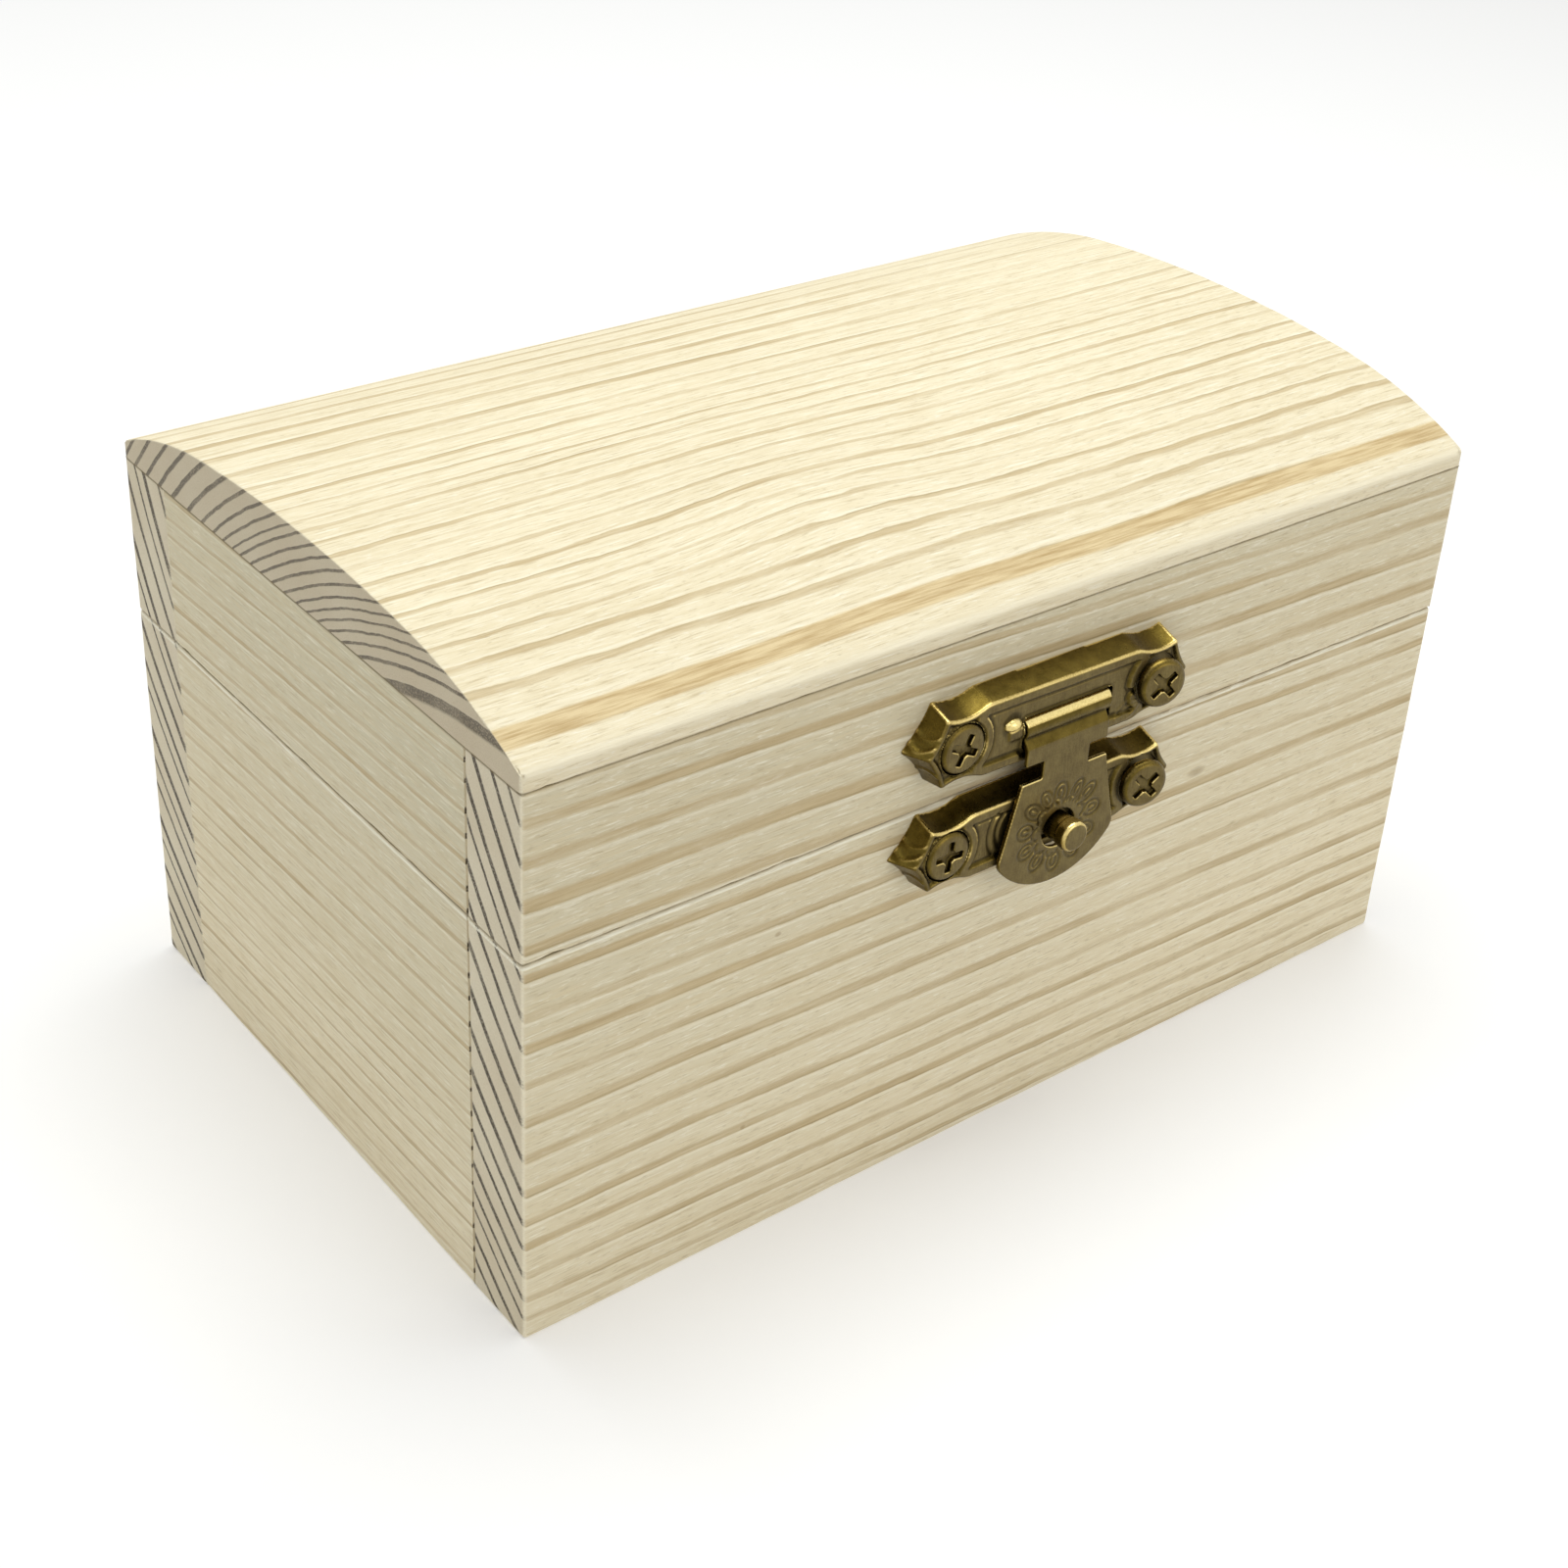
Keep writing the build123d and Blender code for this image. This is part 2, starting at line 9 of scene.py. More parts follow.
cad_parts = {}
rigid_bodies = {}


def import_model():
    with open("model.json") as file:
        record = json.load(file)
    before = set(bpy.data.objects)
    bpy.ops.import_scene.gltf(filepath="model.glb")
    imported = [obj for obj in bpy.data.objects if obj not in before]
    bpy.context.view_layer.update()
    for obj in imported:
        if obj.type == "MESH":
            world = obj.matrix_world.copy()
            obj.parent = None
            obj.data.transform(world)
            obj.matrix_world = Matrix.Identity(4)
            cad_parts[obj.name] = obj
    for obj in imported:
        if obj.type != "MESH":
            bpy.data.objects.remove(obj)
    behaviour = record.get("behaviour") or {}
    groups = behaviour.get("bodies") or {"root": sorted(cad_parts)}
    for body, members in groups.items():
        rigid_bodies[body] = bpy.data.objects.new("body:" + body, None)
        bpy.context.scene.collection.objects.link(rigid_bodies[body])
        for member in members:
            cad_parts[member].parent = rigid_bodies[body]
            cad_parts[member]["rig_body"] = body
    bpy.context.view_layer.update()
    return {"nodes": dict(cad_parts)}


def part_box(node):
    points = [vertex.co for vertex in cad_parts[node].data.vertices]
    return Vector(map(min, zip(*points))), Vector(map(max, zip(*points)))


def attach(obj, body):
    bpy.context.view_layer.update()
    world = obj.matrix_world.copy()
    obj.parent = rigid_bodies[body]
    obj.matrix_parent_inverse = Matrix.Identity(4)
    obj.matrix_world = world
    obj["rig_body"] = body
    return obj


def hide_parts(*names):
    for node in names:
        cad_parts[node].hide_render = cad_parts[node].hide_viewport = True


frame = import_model()
nodes = frame["nodes"]
MM = 0.001


# Places of the CAD model that the looks are built on, in metres
top_low, top_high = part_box("lid_top_board")
front_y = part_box("base_front_board")[0].y
back_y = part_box("base_back_board")[1].y
box_reach = top_high.x / MM
split_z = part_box("base_front_board")[1].z
frame_top_z = top_low.z

# Half the width of the saw cut between base and lid, in millimetres
SLIT = 0.035


def middle_of(node):
    """Middle of a CAD node's box as (x, z), in millimetres."""
    low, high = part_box(node)
    return (low.x + high.x) / 2 / MM, (low.z + high.z) / 2 / MM


def stand_off(places):
    """How far points in millimetres stand in front of the wood."""
    return front_y / MM - places[:, 1]


# Small helpers for node trees
class Tree:
    """Makes shader nodes with few words."""

    def __init__(self, name):
        self.material = bpy.data.materials.new(name)
        self.material.use_nodes = True
        self.nodes = self.material.node_tree.nodes
        self.links = self.material.node_tree.links
        self.nodes.clear()

    def node(self, kind, **settings):
        made = self.nodes.new(kind)
        for key, value in settings.items():
            setattr(made, key, value)
        return made

    def wire(self, source, target):
        if isinstance(source, (int, float)):
            target.default_value = source
        elif isinstance(source, (tuple, list)):
            target.default_value = tuple(source)
        else:
            self.links.new(source, target)

    def math(self, operation, *values, clamp=False):
        made = self.node("ShaderNodeMath", operation=operation, use_clamp=clamp)
        for value, socket in zip(values, made.inputs):
            self.wire(value, socket)
        return made.outputs[0]

    def millimetres(self):
        """The place on the piece, in millimetres."""
        place = self.node("ShaderNodeTexCoord").outputs["Object"]
        made = self.node("ShaderNodeVectorMath", operation="MULTIPLY")
        self.wire(place, made.inputs[0])
        self.wire((1 / MM, 1 / MM, 1 / MM), made.inputs[1])
        return made.outputs[0]

    def attribute(self, name):
        """A measure that the mesh keeps at its vertices."""
        return self.node("ShaderNodeAttribute", attribute_name=name).outputs["Fac"]

    def combine(self, x, y, z):
        made = self.node("ShaderNodeCombineXYZ")
        for value, socket in zip((x, y, z), made.inputs):
            self.wire(value, socket)
        return made.outputs[0]

    def separate(self, vector):
        made = self.node("ShaderNodeSeparateXYZ")
        self.wire(vector, made.inputs[0])
        return made.outputs

    def noise(self, vector, scale, detail=2.0, roughness=0.5, distortion=0.0):
        made = self.node("ShaderNodeTexNoise")
        self.wire(vector, made.inputs["Vector"])
        made.inputs["Scale"].default_value = scale
        made.inputs["Detail"].default_value = detail
        made.inputs["Roughness"].default_value = roughness
        made.inputs["Distortion"].default_value = distortion
        return made.outputs["Fac"]

    def span(self, value, low, high, to_low=0.0, to_high=1.0, smooth=False):
        made = self.node("ShaderNodeMapRange")
        made.interpolation_type = "SMOOTHSTEP" if smooth else "LINEAR"
        self.wire(value, made.inputs["Value"])
        limits = {"From Min": low, "From Max": high, "To Min": to_low, "To Max": to_high}
        for name, number in limits.items():
            self.wire(number, made.inputs[name])
        return made.outputs["Result"]

    def mix(self, factor, first, second):
        made = self.node("ShaderNodeMix", data_type="RGBA")
        self.wire(factor, made.inputs["Factor"])
        for name, value in (("A", first), ("B", second)):
            socket = [s for s in made.inputs if s.name == name and s.type == "RGBA"][0]
            self.wire((*value, 1.0) if isinstance(value, tuple) and len(value) == 3 else value, socket)
        return [s for s in made.outputs if s.type == "RGBA"][0]

    def bump(self, height, strength, distance):
        made = self.node("ShaderNodeBump")
        made.inputs["Strength"].default_value = strength
        made.inputs["Distance"].default_value = distance
        self.wire(height, made.inputs["Height"])
        return made.outputs["Normal"]

    def finish(self, color, roughness, normal, metallic=0.0):
        shader = self.node("ShaderNodeBsdfPrincipled")
        self.wire(color, shader.inputs["Base Color"])
        self.wire(roughness, shader.inputs["Roughness"])
        self.wire(normal, shader.inputs["Normal"])
        shader.inputs["Metallic"].default_value = metallic
        out = self.node("ShaderNodeOutputMaterial")
        self.links.new(shader.outputs[0], out.inputs[0])
        return self.material


def srgb(text):
    """Linear colour of a hex code."""
    values = [int(text[i : i + 2], 16) / 255 for i in (0, 2, 4)]
    return tuple(v / 12.92 if v <= 0.04045 else ((v + 0.055) / 1.055) ** 2.4 for v in values)


# Wood: growth rings
class Rings:
    """Growth rings of the log that a board was sawn from, for a shader tree.

    along is the axis of the grain, pith is the log's centre across it and radii are the rings' sizes,
    in millimetres.
    """

    def __init__(self, along, pith, radii):
        self.along = along
        self.pith = pith
        self.radii = sorted(radii)

    def phase(self, tree, across, height):
        """Ring number at a place: whole numbers are the outer edges of the dark bands."""
        pith_across, pith_height = self.pith
        left = tree.math("SUBTRACT", across, pith_across)
        up = tree.math("SUBTRACT", height, pith_height)
        squares = tree.math("ADD", tree.math("MULTIPLY", left, left), tree.math("MULTIPLY", up, up))
        radius = tree.math("SQRT", squares)
        count = len(self.radii) - 1
        first, last = self.radii[0], self.radii[-1]
        share = tree.span(radius, first, last)
        curve = tree.node("ShaderNodeFloatCurve")
        points = curve.mapping.curves[0].points
        while len(points) < len(self.radii):
            points.new(0.5, 0.5)
        for index, ring in enumerate(self.radii):
            points[index].location = ((ring - first) / (last - first), index / count)
            points[index].handle_type = "VECTOR"
        curve.mapping.update()
        tree.wire(share, curve.inputs["Value"])
        return tree.math("MULTIPLY", curve.outputs[0], count)


def scaled(tree, x, y, z, scales, shift=0.0):
    """Vector of a place with its own scale for each axis, for a stretched noise."""
    values = [tree.math("MULTIPLY", value, scale) for value, scale in zip((x, y, z), scales)]
    values[0] = tree.math("ADD", values[0], shift)
    return tree.combine(*values)


def pine(name, rings, seed, drift=0.0, wander=0.7, bulge=None, band=0.25, contrast=1.0, upper_shade=None,
         stripe=None, knots=(), calm=None, end_dark=1.0):
    """Sanded pine. Growth rings show as bands on the faces and as dark arcs on the end grain.

    stripe is a tan band between two places across the board, knots are small marks on the face at
    (along, height, length, width), and calm is a corner of the board where the bands nearly fade out.
    upper_shade is painted shade: the greyer colour the face turns to high up on its left. end_dark under 1
    gives paler arcs on greyer end grain.
    """
    tree = Tree(name)
    x, y, z = tree.separate(tree.millimetres())
    facing = tree.separate(tree.node("ShaderNodeTexCoord").outputs["Normal"])
    if rings.along == "X":
        along, across, end_facing = x, y, facing[0]
    else:
        along, across, end_facing = y, x, facing[1]
    end_grain = tree.span(tree.math("ABSOLUTE", end_facing), 0.55, 0.8)

    # The log isn't straight: its rings wander, run slightly out of parallel and bulge round a knot
    slow = tree.noise(scaled(tree, along, across, z, (0.022, 0.03, 0.045), seed), 1.0, 2.0)
    shift = tree.math("MULTIPLY", tree.math("SUBTRACT", slow, 0.5), wander * 2)
    shift = tree.math("ADD", shift, tree.span(along, -box_reach, box_reach, 0.0, drift))
    quick = tree.noise(scaled(tree, along, across, z, (0.16, 0.5, 0.5), seed + 7), 1.0, 3.0)
    shift = tree.math("ADD", shift, tree.math("MULTIPLY", tree.math("SUBTRACT", quick, 0.5), 0.35))
    height = tree.math("ADD", z, shift)
    if bulge:
        bulge_along, bulge_across, reach_along, reach_across, amount = bulge
        near = tree.math("DIVIDE", tree.math("SUBTRACT", along, bulge_along), reach_along)
        beside = tree.math("DIVIDE", tree.math("SUBTRACT", across, bulge_across), reach_across)
        far = tree.math("ADD", tree.math("MULTIPLY", near, near), tree.math("MULTIPLY", beside, beside))
        push = tree.math("MULTIPLY", tree.math("EXPONENT", tree.math("MULTIPLY", far, -1.0)), amount)
        across = tree.math("SUBTRACT", across, push)
    phase = rings.phase(tree, across, height)
    number = tree.math("FLOOR", phase)
    part = tree.math("FRACT", phase)

    # Each ring has its own band width and depth of colour, and fades in and out along the board
    own = tree.node("ShaderNodeTexWhiteNoise", noise_dimensions="1D")
    tree.wire(tree.math("ADD", number, seed), own.inputs["W"])
    chance = own.outputs["Value"]
    width = tree.span(chance, 0, 1, band * 0.75, band * 1.2)
    start = tree.math("SUBTRACT", 0.97, width)
    fade = tree.math("SUBTRACT", start, tree.math("MULTIPLY", width, 0.55))
    rise = tree.span(part, fade, start, smooth=True)
    drop = tree.span(part, 0.96, 0.99, 1.0, 0.0, smooth=True)
    late = tree.math("MULTIPLY", rise, drop)
    patches = tree.noise(scaled(tree, along, across, height, (0.04, 0.3, 0.3), seed + 3), 1.0, 3.0)
    depth = tree.math("MULTIPLY", tree.span(chance, 0, 1, 0.68, 1.05),
                      tree.span(patches, 0.34, 0.6, 0.5, 1.12))
    if calm:
        calm_along, calm_across = calm
        away = tree.math("MAXIMUM", tree.span(along, calm_along - 30, calm_along, 1.0, 0.0),
                         tree.span(across, calm_across - 12, calm_across, 1.0, 0.0))
        depth = tree.math("MULTIPLY", depth, tree.span(away, 0, 1, 0.35, 1.0))
    late = tree.math("MULTIPLY", late, depth, clamp=True)
    edge = tree.math("MULTIPLY", tree.span(part, 0.9, 0.95, smooth=True), drop)
    edge = tree.math("MULTIPLY", edge, tree.span(patches, 0.46, 0.64))
    # A thin pale line just past each dark band: partly painted highlight where the face tilts up to the
    # light, partly paler wood at the ring's edge
    ring_highlight = tree.math("MULTIPLY", tree.span(part, 0.0, 0.02), tree.span(part, 0.06, 0.12, 1.0, 0.0))
    ring_highlight = tree.math("MULTIPLY", ring_highlight, depth, clamp=True)

    # Fibres: long fine streaks and short dashes on the faces, open pores on the end grain
    fibre = tree.noise(scaled(tree, along, across, z, (0.14, 2.6, 2.6), seed), 1.0, 4.0, 0.62)
    streak = tree.noise(scaled(tree, along, across, z, (0.3, 5.2, 5.2), seed + 1), 1.0, 2.0, 0.5)
    dash = tree.noise(scaled(tree, along, across, z, (0.8, 4.2, 4.2), seed + 2), 1.0, 2.0, 0.5)
    pores = tree.noise(scaled(tree, along, across, z, (5.0, 5.0, 5.0), seed), 1.0, 3.0, 0.65)
    clouds = tree.noise(scaled(tree, along, across, z, (0.03, 0.09, 0.09), seed + 5), 1.0, 3.0)

    pale, tan = srgb("f3e8c9"), srgb("dfcfa8")
    face = tree.mix(tree.span(clouds, 0.3, 0.7), srgb("ebdfbe"), pale)
    # Painted shade: the face turns greyer and darker towards its top left
    if upper_shade:
        slope = tree.math("ADD", z, tree.math("MULTIPLY", along, -0.25))
        face = tree.mix(tree.span(slope, 5, 62), face, srgb(upper_shade))
    face = tree.mix(tree.math("MULTIPLY", tree.span(fibre, 0.42, 0.7), 0.55), face, tan)
    face = tree.mix(tree.math("MULTIPLY", tree.span(streak, 0.56, 0.74), 0.5), face, srgb("b5a074"))
    face = tree.mix(tree.math("MULTIPLY", tree.span(streak, 0.42, 0.26), 0.65), face, srgb("fffbe8"))
    face = tree.mix(tree.math("MULTIPLY", tree.span(dash, 0.62, 0.72), 0.26), face, srgb("a08b60"))
    face = tree.mix(tree.math("MULTIPLY", tree.span(dash, 0.38, 0.28), 0.36), face, srgb("fffcee"))
    band_color = tree.mix(tree.span(fibre, 0.35, 0.7), srgb("cdb788"), srgb("b2996a"))
    face = tree.mix(tree.math("MULTIPLY", late, 0.8 * contrast, clamp=True), face, band_color)
    face = tree.mix(tree.math("MULTIPLY", edge, 0.5 * contrast, clamp=True), face, srgb("937f53"))
    face = tree.mix(tree.math("MULTIPLY", ring_highlight, 0.4 * contrast, clamp=True), face, srgb("fff9e4"))
    if stripe:
        stripe_low, stripe_high = stripe
        wavy = tree.math("ADD", across, tree.math("MULTIPLY", tree.math("SUBTRACT", slow, 0.5), 1.2))
        inside = tree.math("MULTIPLY", tree.span(wavy, stripe_low, stripe_low + 0.3, smooth=True),
                           tree.span(wavy, stripe_high - 0.3, stripe_high, 1.0, 0.0, smooth=True))
        stained = tree.mix(tree.span(fibre, 0.4, 0.66), srgb("e3cc9a"), srgb("b99a62"))
        face = tree.mix(tree.math("MULTIPLY", inside, 0.8), face, stained)
    for knot_along, knot_height, length, width in knots:
        beside = tree.math("DIVIDE", tree.math("SUBTRACT", along, knot_along), length / 2)
        above = tree.math("DIVIDE", tree.math("SUBTRACT", z, knot_height), width / 2)
        reach = tree.math("ADD", tree.math("MULTIPLY", beside, beside), tree.math("MULTIPLY", above, above))
        reach = tree.math("ADD", reach, tree.math("MULTIPLY", tree.math("SUBTRACT", dash, 0.5), 1.6))
        face = tree.mix(tree.span(reach, 1.6, 0.1, 0.0, 0.5), face, srgb("9a8054"))

    # End grain drinks more light, and its bands break up into dark dashes
    broken = tree.span(pores, 0.36, 0.5, 0.45, 1.0)
    arc = tree.math("MULTIPLY", tree.span(part, 0.7, 0.79, smooth=True), drop)
    dashes = tree.math("MULTIPLY", broken, tree.span(depth, 0.3, 1.0, 0.8, 1.15))
    arc = tree.math("MULTIPLY", arc, dashes, clamp=True)
    cut = tree.mix(tree.span(pores, 0.3, 0.7), srgb("ddd2b6"), srgb("ece3c9"))
    cut = tree.mix(tree.math("MULTIPLY", tree.span(clouds, 0.35, 0.65), 0.35), cut, srgb("cdbb9a"))
    if end_dark < 1:
        cut = tree.mix(0.4, cut, srgb("b9a88a"))
    cut = tree.mix(tree.math("MULTIPLY", arc, end_dark, clamp=True), cut, srgb("42351f"))
    color = tree.mix(end_grain, face, cut)

    # Worn and chipped edges show fresh pale fibres, and so does the base's lip
    bare = tree.span(streak, 0.3, 0.6, 0.4, 0.95)
    fresh = tree.math("MULTIPLY", tree.attribute("worn"), bare, clamp=True)
    color = tree.mix(fresh, color, srgb("fbf2d6"))
    # Painted shade: dark lines along the saw cut and along the seam under the top board, where the narrow
    # gaps lie in shade
    for seam, strength in ((split_z / MM, 0.6), (frame_top_z / MM, 0.55)):
        gap = tree.math("ABSOLUTE", tree.math("SUBTRACT", z, seam))
        color = tree.mix(tree.span(gap, 0.06, 0.2, strength, 0.0), color, srgb("7d6840"))
    lip = tree.math("MULTIPLY", tree.span(z, split_z / MM - 0.62, split_z / MM - 0.5),
                    tree.span(z, split_z / MM - 0.3, split_z / MM - 0.2, 1.0, 0.0))
    lip = tree.math("MULTIPLY", lip, tree.span(streak, 0.35, 0.55, 0.25, 0.9), clamp=True)
    color = tree.mix(lip, color, srgb("fffbe6"))

    rough = tree.span(fibre, 0.3, 0.7, 0.62, 0.8)
    rough = tree.math("ADD", rough, tree.math("MULTIPLY", late, -0.08))
    grain = tree.math("ADD", tree.math("MULTIPLY", fibre, 0.7), tree.math("MULTIPLY", streak, 0.45))
    grain = tree.math("ADD", grain, tree.math("MULTIPLY", late, 0.28))
    relief = tree.math("ADD", tree.math("MULTIPLY", pores, 0.9), tree.math("MULTIPLY", arc, -0.5))
    chosen = tree.node("ShaderNodeMix", data_type="FLOAT")
    tree.wire(end_grain, chosen.inputs[0])
    tree.wire(grain, chosen.inputs[2])
    tree.wire(relief, chosen.inputs[3])
    normal = tree.bump(chosen.outputs[0], 0.6, 0.00018)
    return tree.finish(color, rough, normal)


# Wood: boards with rounded, worn and chipped edges. ROWS are how far in from an edge the mesh has its
# close rows, FACES names a board's sides by axis and direction, SHARP is the radius of an unworn edge and
# FULLY_WORN how far wear moves bare wood. The scales are those of the noise that makes the wear uneven.
ROWS = (0.0, 0.07, 0.16, 0.28, 0.45, 0.7, 1.1)
FACES = {(0, -1): "left", (0, 1): "right", (1, -1): "front", (1, 1): "back", (2, -1): "low", (2, 1): "high"}
SHARP = 0.015
FULLY_WORN = 0.12
SWAY_SCALE, FLAKE_SCALE, BIT_SCALE = 0.16, 0.55, 1.7


def stations(low, high, step):
    """Places from low to high, in millimetres, close together near both ends."""
    reach = ROWS[-1]
    if high - low < 2 * reach + step:
        shrink = (high - low) / (2 * reach + step)
        rows = [row * shrink for row in ROWS]
    else:
        rows = list(ROWS)
    count = max(1, round((high - low - 2 * rows[-1]) / step))
    middle = np.linspace(low + rows[-1], high - rows[-1], count + 1)[1:-1]
    return [low + row for row in rows] + list(middle) + [high - row for row in reversed(rows)]


def edge_wear(rounds, chips, first, second, place, seed):
    """Radius of a board's edge at a place: its own round, uneven wear and a few chips."""
    key = frozenset((FACES[first], FACES[second]))
    radius = rounds.get(key, SHARP)
    if radius > SHARP:
        sway = noise.noise(Vector(place) * SWAY_SCALE + Vector((seed, 0, 0)))
        radius *= 1.0 + 0.35 * sway
    depth = chips.get(key, 0.0)
    if depth:
        flakes = noise.noise(Vector(place) * FLAKE_SCALE + Vector((0, seed, 0)))
        bits = noise.noise(Vector(place) * BIT_SCALE + Vector((0, 0, seed)))
        radius += depth * (max(0.0, flakes - 0.12) * 1.6 + max(0.0, bits - 0.2) * 0.7)
    return radius


def board(node, material, body, rounds, chips, seed, steps=(0.7, 2.5, 2.5), crown=None):
    """A board on its CAD node's box: a fine mesh whose edges are worn, inside the box everywhere."""
    name = node + "_wood"
    low, high = (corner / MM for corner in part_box(node))
    if body == "base":
        high[2] = min(high[2], split_z / MM - SLIT)
    else:
        low[2] = max(low[2], split_z / MM + SLIT)
    lines = [stations(low[axis], high[axis], steps[axis]) for axis in range(3)]
    last = [len(line) - 1 for line in lines]
    mesh = bpy.data.meshes.new(name)
    built = bmesh.new()
    worn_layer = built.verts.layers.float.new("worn")
    corner = {}
    for i in range(last[0] + 1):
        for j in range(last[1] + 1):
            inside = 0 < i < last[0] and 0 < j < last[1]
            for k in (0, last[2]) if inside else range(last[2] + 1):
                place = [lines[0][i], lines[1][j], lines[2][k]]
                moved, worn = worn_place(place, low, high, rounds, chips, seed)
                if crown:
                    moved = crown(moved, low, high)
                vertex = built.verts.new([value * MM for value in moved])
                vertex[worn_layer] = worn
                corner[i, j, k] = vertex
    counts = [range(count) for count in last]
    for axis in range(3):
        one, two = [other for other in range(3) if other != axis]
        for side in (0, last[axis]):
            for p in counts[one]:
                for q in counts[two]:
                    ring = []
                    for a, b in ((p, q), (p + 1, q), (p + 1, q + 1), (p, q + 1)):
                        key = [0, 0, 0]
                        key[axis], key[one], key[two] = side, a, b
                        ring.append(corner[tuple(key)])
                    built.faces.new(ring)
    bmesh.ops.recalc_face_normals(built, faces=built.faces)
    for face in built.faces:
        face.smooth = True
    built.to_mesh(mesh)
    built.free()
    piece = bpy.data.objects.new(name, mesh)
    bpy.context.scene.collection.objects.link(piece)
    mesh.materials.append(material)
    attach(piece, body)
    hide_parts(node)


def worn_place(place, low, high, rounds, chips, seed):
    """Where a point of a board's box lies once the edges are worn, and how much wear is there."""
    near = []
    for axis in range(3):
        to_low, to_high = place[axis] - low[axis], high[axis] - place[axis]
        near.append((min(to_low, to_high), axis, -1 if to_low <= to_high else 1))
    near.sort()
    (_, first_axis, first_side), others = near[0], near[1:]
    radii = [edge_wear(rounds, chips, (first_axis, first_side), (axis, side), place, seed)
             if gap < ROWS[-1] else 0.0 for gap, axis, side in others]
    bends = [(gap, axis, side, radius) for (gap, axis, side), radius in zip(others, radii) if gap < radius]
    if not bends:
        return place, 0.0
    radius = max(bend[3] for bend in bends)
    offsets = [(radius, first_axis, first_side)]
    offsets += [(radius - min(gap, radius), axis, side) for gap, axis, side, _ in bends]
    length = math.sqrt(sum(offset * offset for offset, _, _ in offsets))
    moved = list(place)
    for offset, axis, side in offsets:
        face = low[axis] if side < 0 else high[axis]
        moved[axis] = face - side * (radius - radius * offset / length)
    shift = math.dist(moved, place)
    return moved, min(1.0, shift / FULLY_WORN) if radius > 2 * SHARP else 0.0


# The arch of the top board: one wide arc in the middle and a rounder one on each side, down to the rims
CROWN_RADIUS, CROWN_HALF_WIDTH, RIM_HEIGHT = 180.0, 20.0, 63.3


def shoulder_radius(half_depth, crown_height):
    """Radius of the arcs that run on from the crown's arc, without a bend, down to the rims."""
    lean = math.asin(CROWN_HALF_WIDTH / CROWN_RADIUS)
    start = crown_height - CROWN_RADIUS * (1 - math.cos(lean))
    across, drop = half_depth - CROWN_HALF_WIDTH, start - RIM_HEIGHT
    return (across * across + drop * drop) / (2 * (drop * math.cos(lean) - across * math.sin(lean)))


def arch_height(y, half_depth, crown_height):
    """Height of the arch at a depth, in millimetres."""
    y = min(abs(y), half_depth)
    if y <= CROWN_HALF_WIDTH:
        return crown_height - CROWN_RADIUS + math.sqrt(CROWN_RADIUS ** 2 - y * y)
    radius = shoulder_radius(half_depth, crown_height)
    lean = math.asin(CROWN_HALF_WIDTH / CROWN_RADIUS)
    middle_y = CROWN_HALF_WIDTH - radius * math.sin(lean)
    middle_z = crown_height - CROWN_RADIUS * (1 - math.cos(lean)) - radius * math.cos(lean)
    return middle_z + math.sqrt(radius ** 2 - (y - middle_y) ** 2)


def crowned(place, low, high):
    """Lifts a point of the top board's box to the arch, keeping the rows near both faces."""
    x, y, z = place
    top = arch_height(y, high[1], high[2])
    reach = ROWS[-1]
    shrink = min(1.0, (top - low[2]) / (2.2 * reach))
    from_low, from_high = z - low[2], high[2] - z
    if from_low <= reach:
        return x, y, low[2] + from_low * shrink
    if from_high <= reach:
        return x, y, top - from_high * shrink
    share = (from_low - reach) / (high[2] - low[2] - 2 * reach)
    inner_low, inner_high = low[2] + reach * shrink, top - reach * shrink
    return x, y, inner_low + (inner_high - inner_low) * share


# Metal: even fine meshes of the CAD pieces, with relief and a measure of wear
def remeshed(node, voxel, relax):
    """An evenly meshed copy of a CAD node, fine enough for relief."""
    mesh = nodes[node].data.copy()
    mesh.materials.clear()
    built = bmesh.new()
    built.from_mesh(mesh)
    bmesh.ops.remove_doubles(built, verts=built.verts, dist=0.001 * MM)
    built.to_mesh(mesh)
    built.free()
    rough = bpy.data.objects.new("rough", mesh)
    bpy.context.scene.collection.objects.link(rough)
    remesh = rough.modifiers.new("remesh", "REMESH")
    remesh.mode = "VOXEL"
    remesh.voxel_size = voxel * MM
    remesh.use_smooth_shade = True
    smooth = rough.modifiers.new("relax", "SMOOTH")
    smooth.factor = 0.5
    smooth.iterations = relax
    bpy.context.view_layer.update()
    depsgraph = bpy.context.evaluated_depsgraph_get()
    fine = bpy.data.meshes.new_from_object(rough.evaluated_get(depsgraph))
    fine.name = "fine_" + node
    bpy.data.objects.remove(rough)
    return fine


def arrays(mesh):
    """Places in millimetres, normals and edges of a mesh."""
    count = len(mesh.vertices)
    places = np.zeros(count * 3)
    mesh.vertices.foreach_get("co", places)
    normals = np.zeros(count * 3)
    mesh.vertices.foreach_get("normal", normals)
    edges = np.zeros(len(mesh.edges) * 2, int)
    mesh.edges.foreach_get("vertices", edges)
    return places.reshape(-1, 3) / MM, normals.reshape(-1, 3), edges.reshape(-1, 2)


def put_back(mesh, places):
    """Moves a mesh's vertices to places given in millimetres."""
    mesh.vertices.foreach_set("co", (places * MM).ravel())
    mesh.update()


def spread(values, edges, rounds):
    """Values smoothed over a mesh's edges."""
    for _ in range(rounds):
        total, count = values.copy(), np.ones(len(values))
        for one, two in ((0, 1), (1, 0)):
            np.add.at(total, edges[:, one], values[edges[:, two]])
            np.add.at(count, edges[:, one], 1)
        values = total / count
    return values


def eased(values, low, high):
    """Values taken smoothly from 0 at low to 1 at high."""
    share = np.clip((values - low) / (high - low), 0, 1)
    return share * share * (3 - 2 * share)


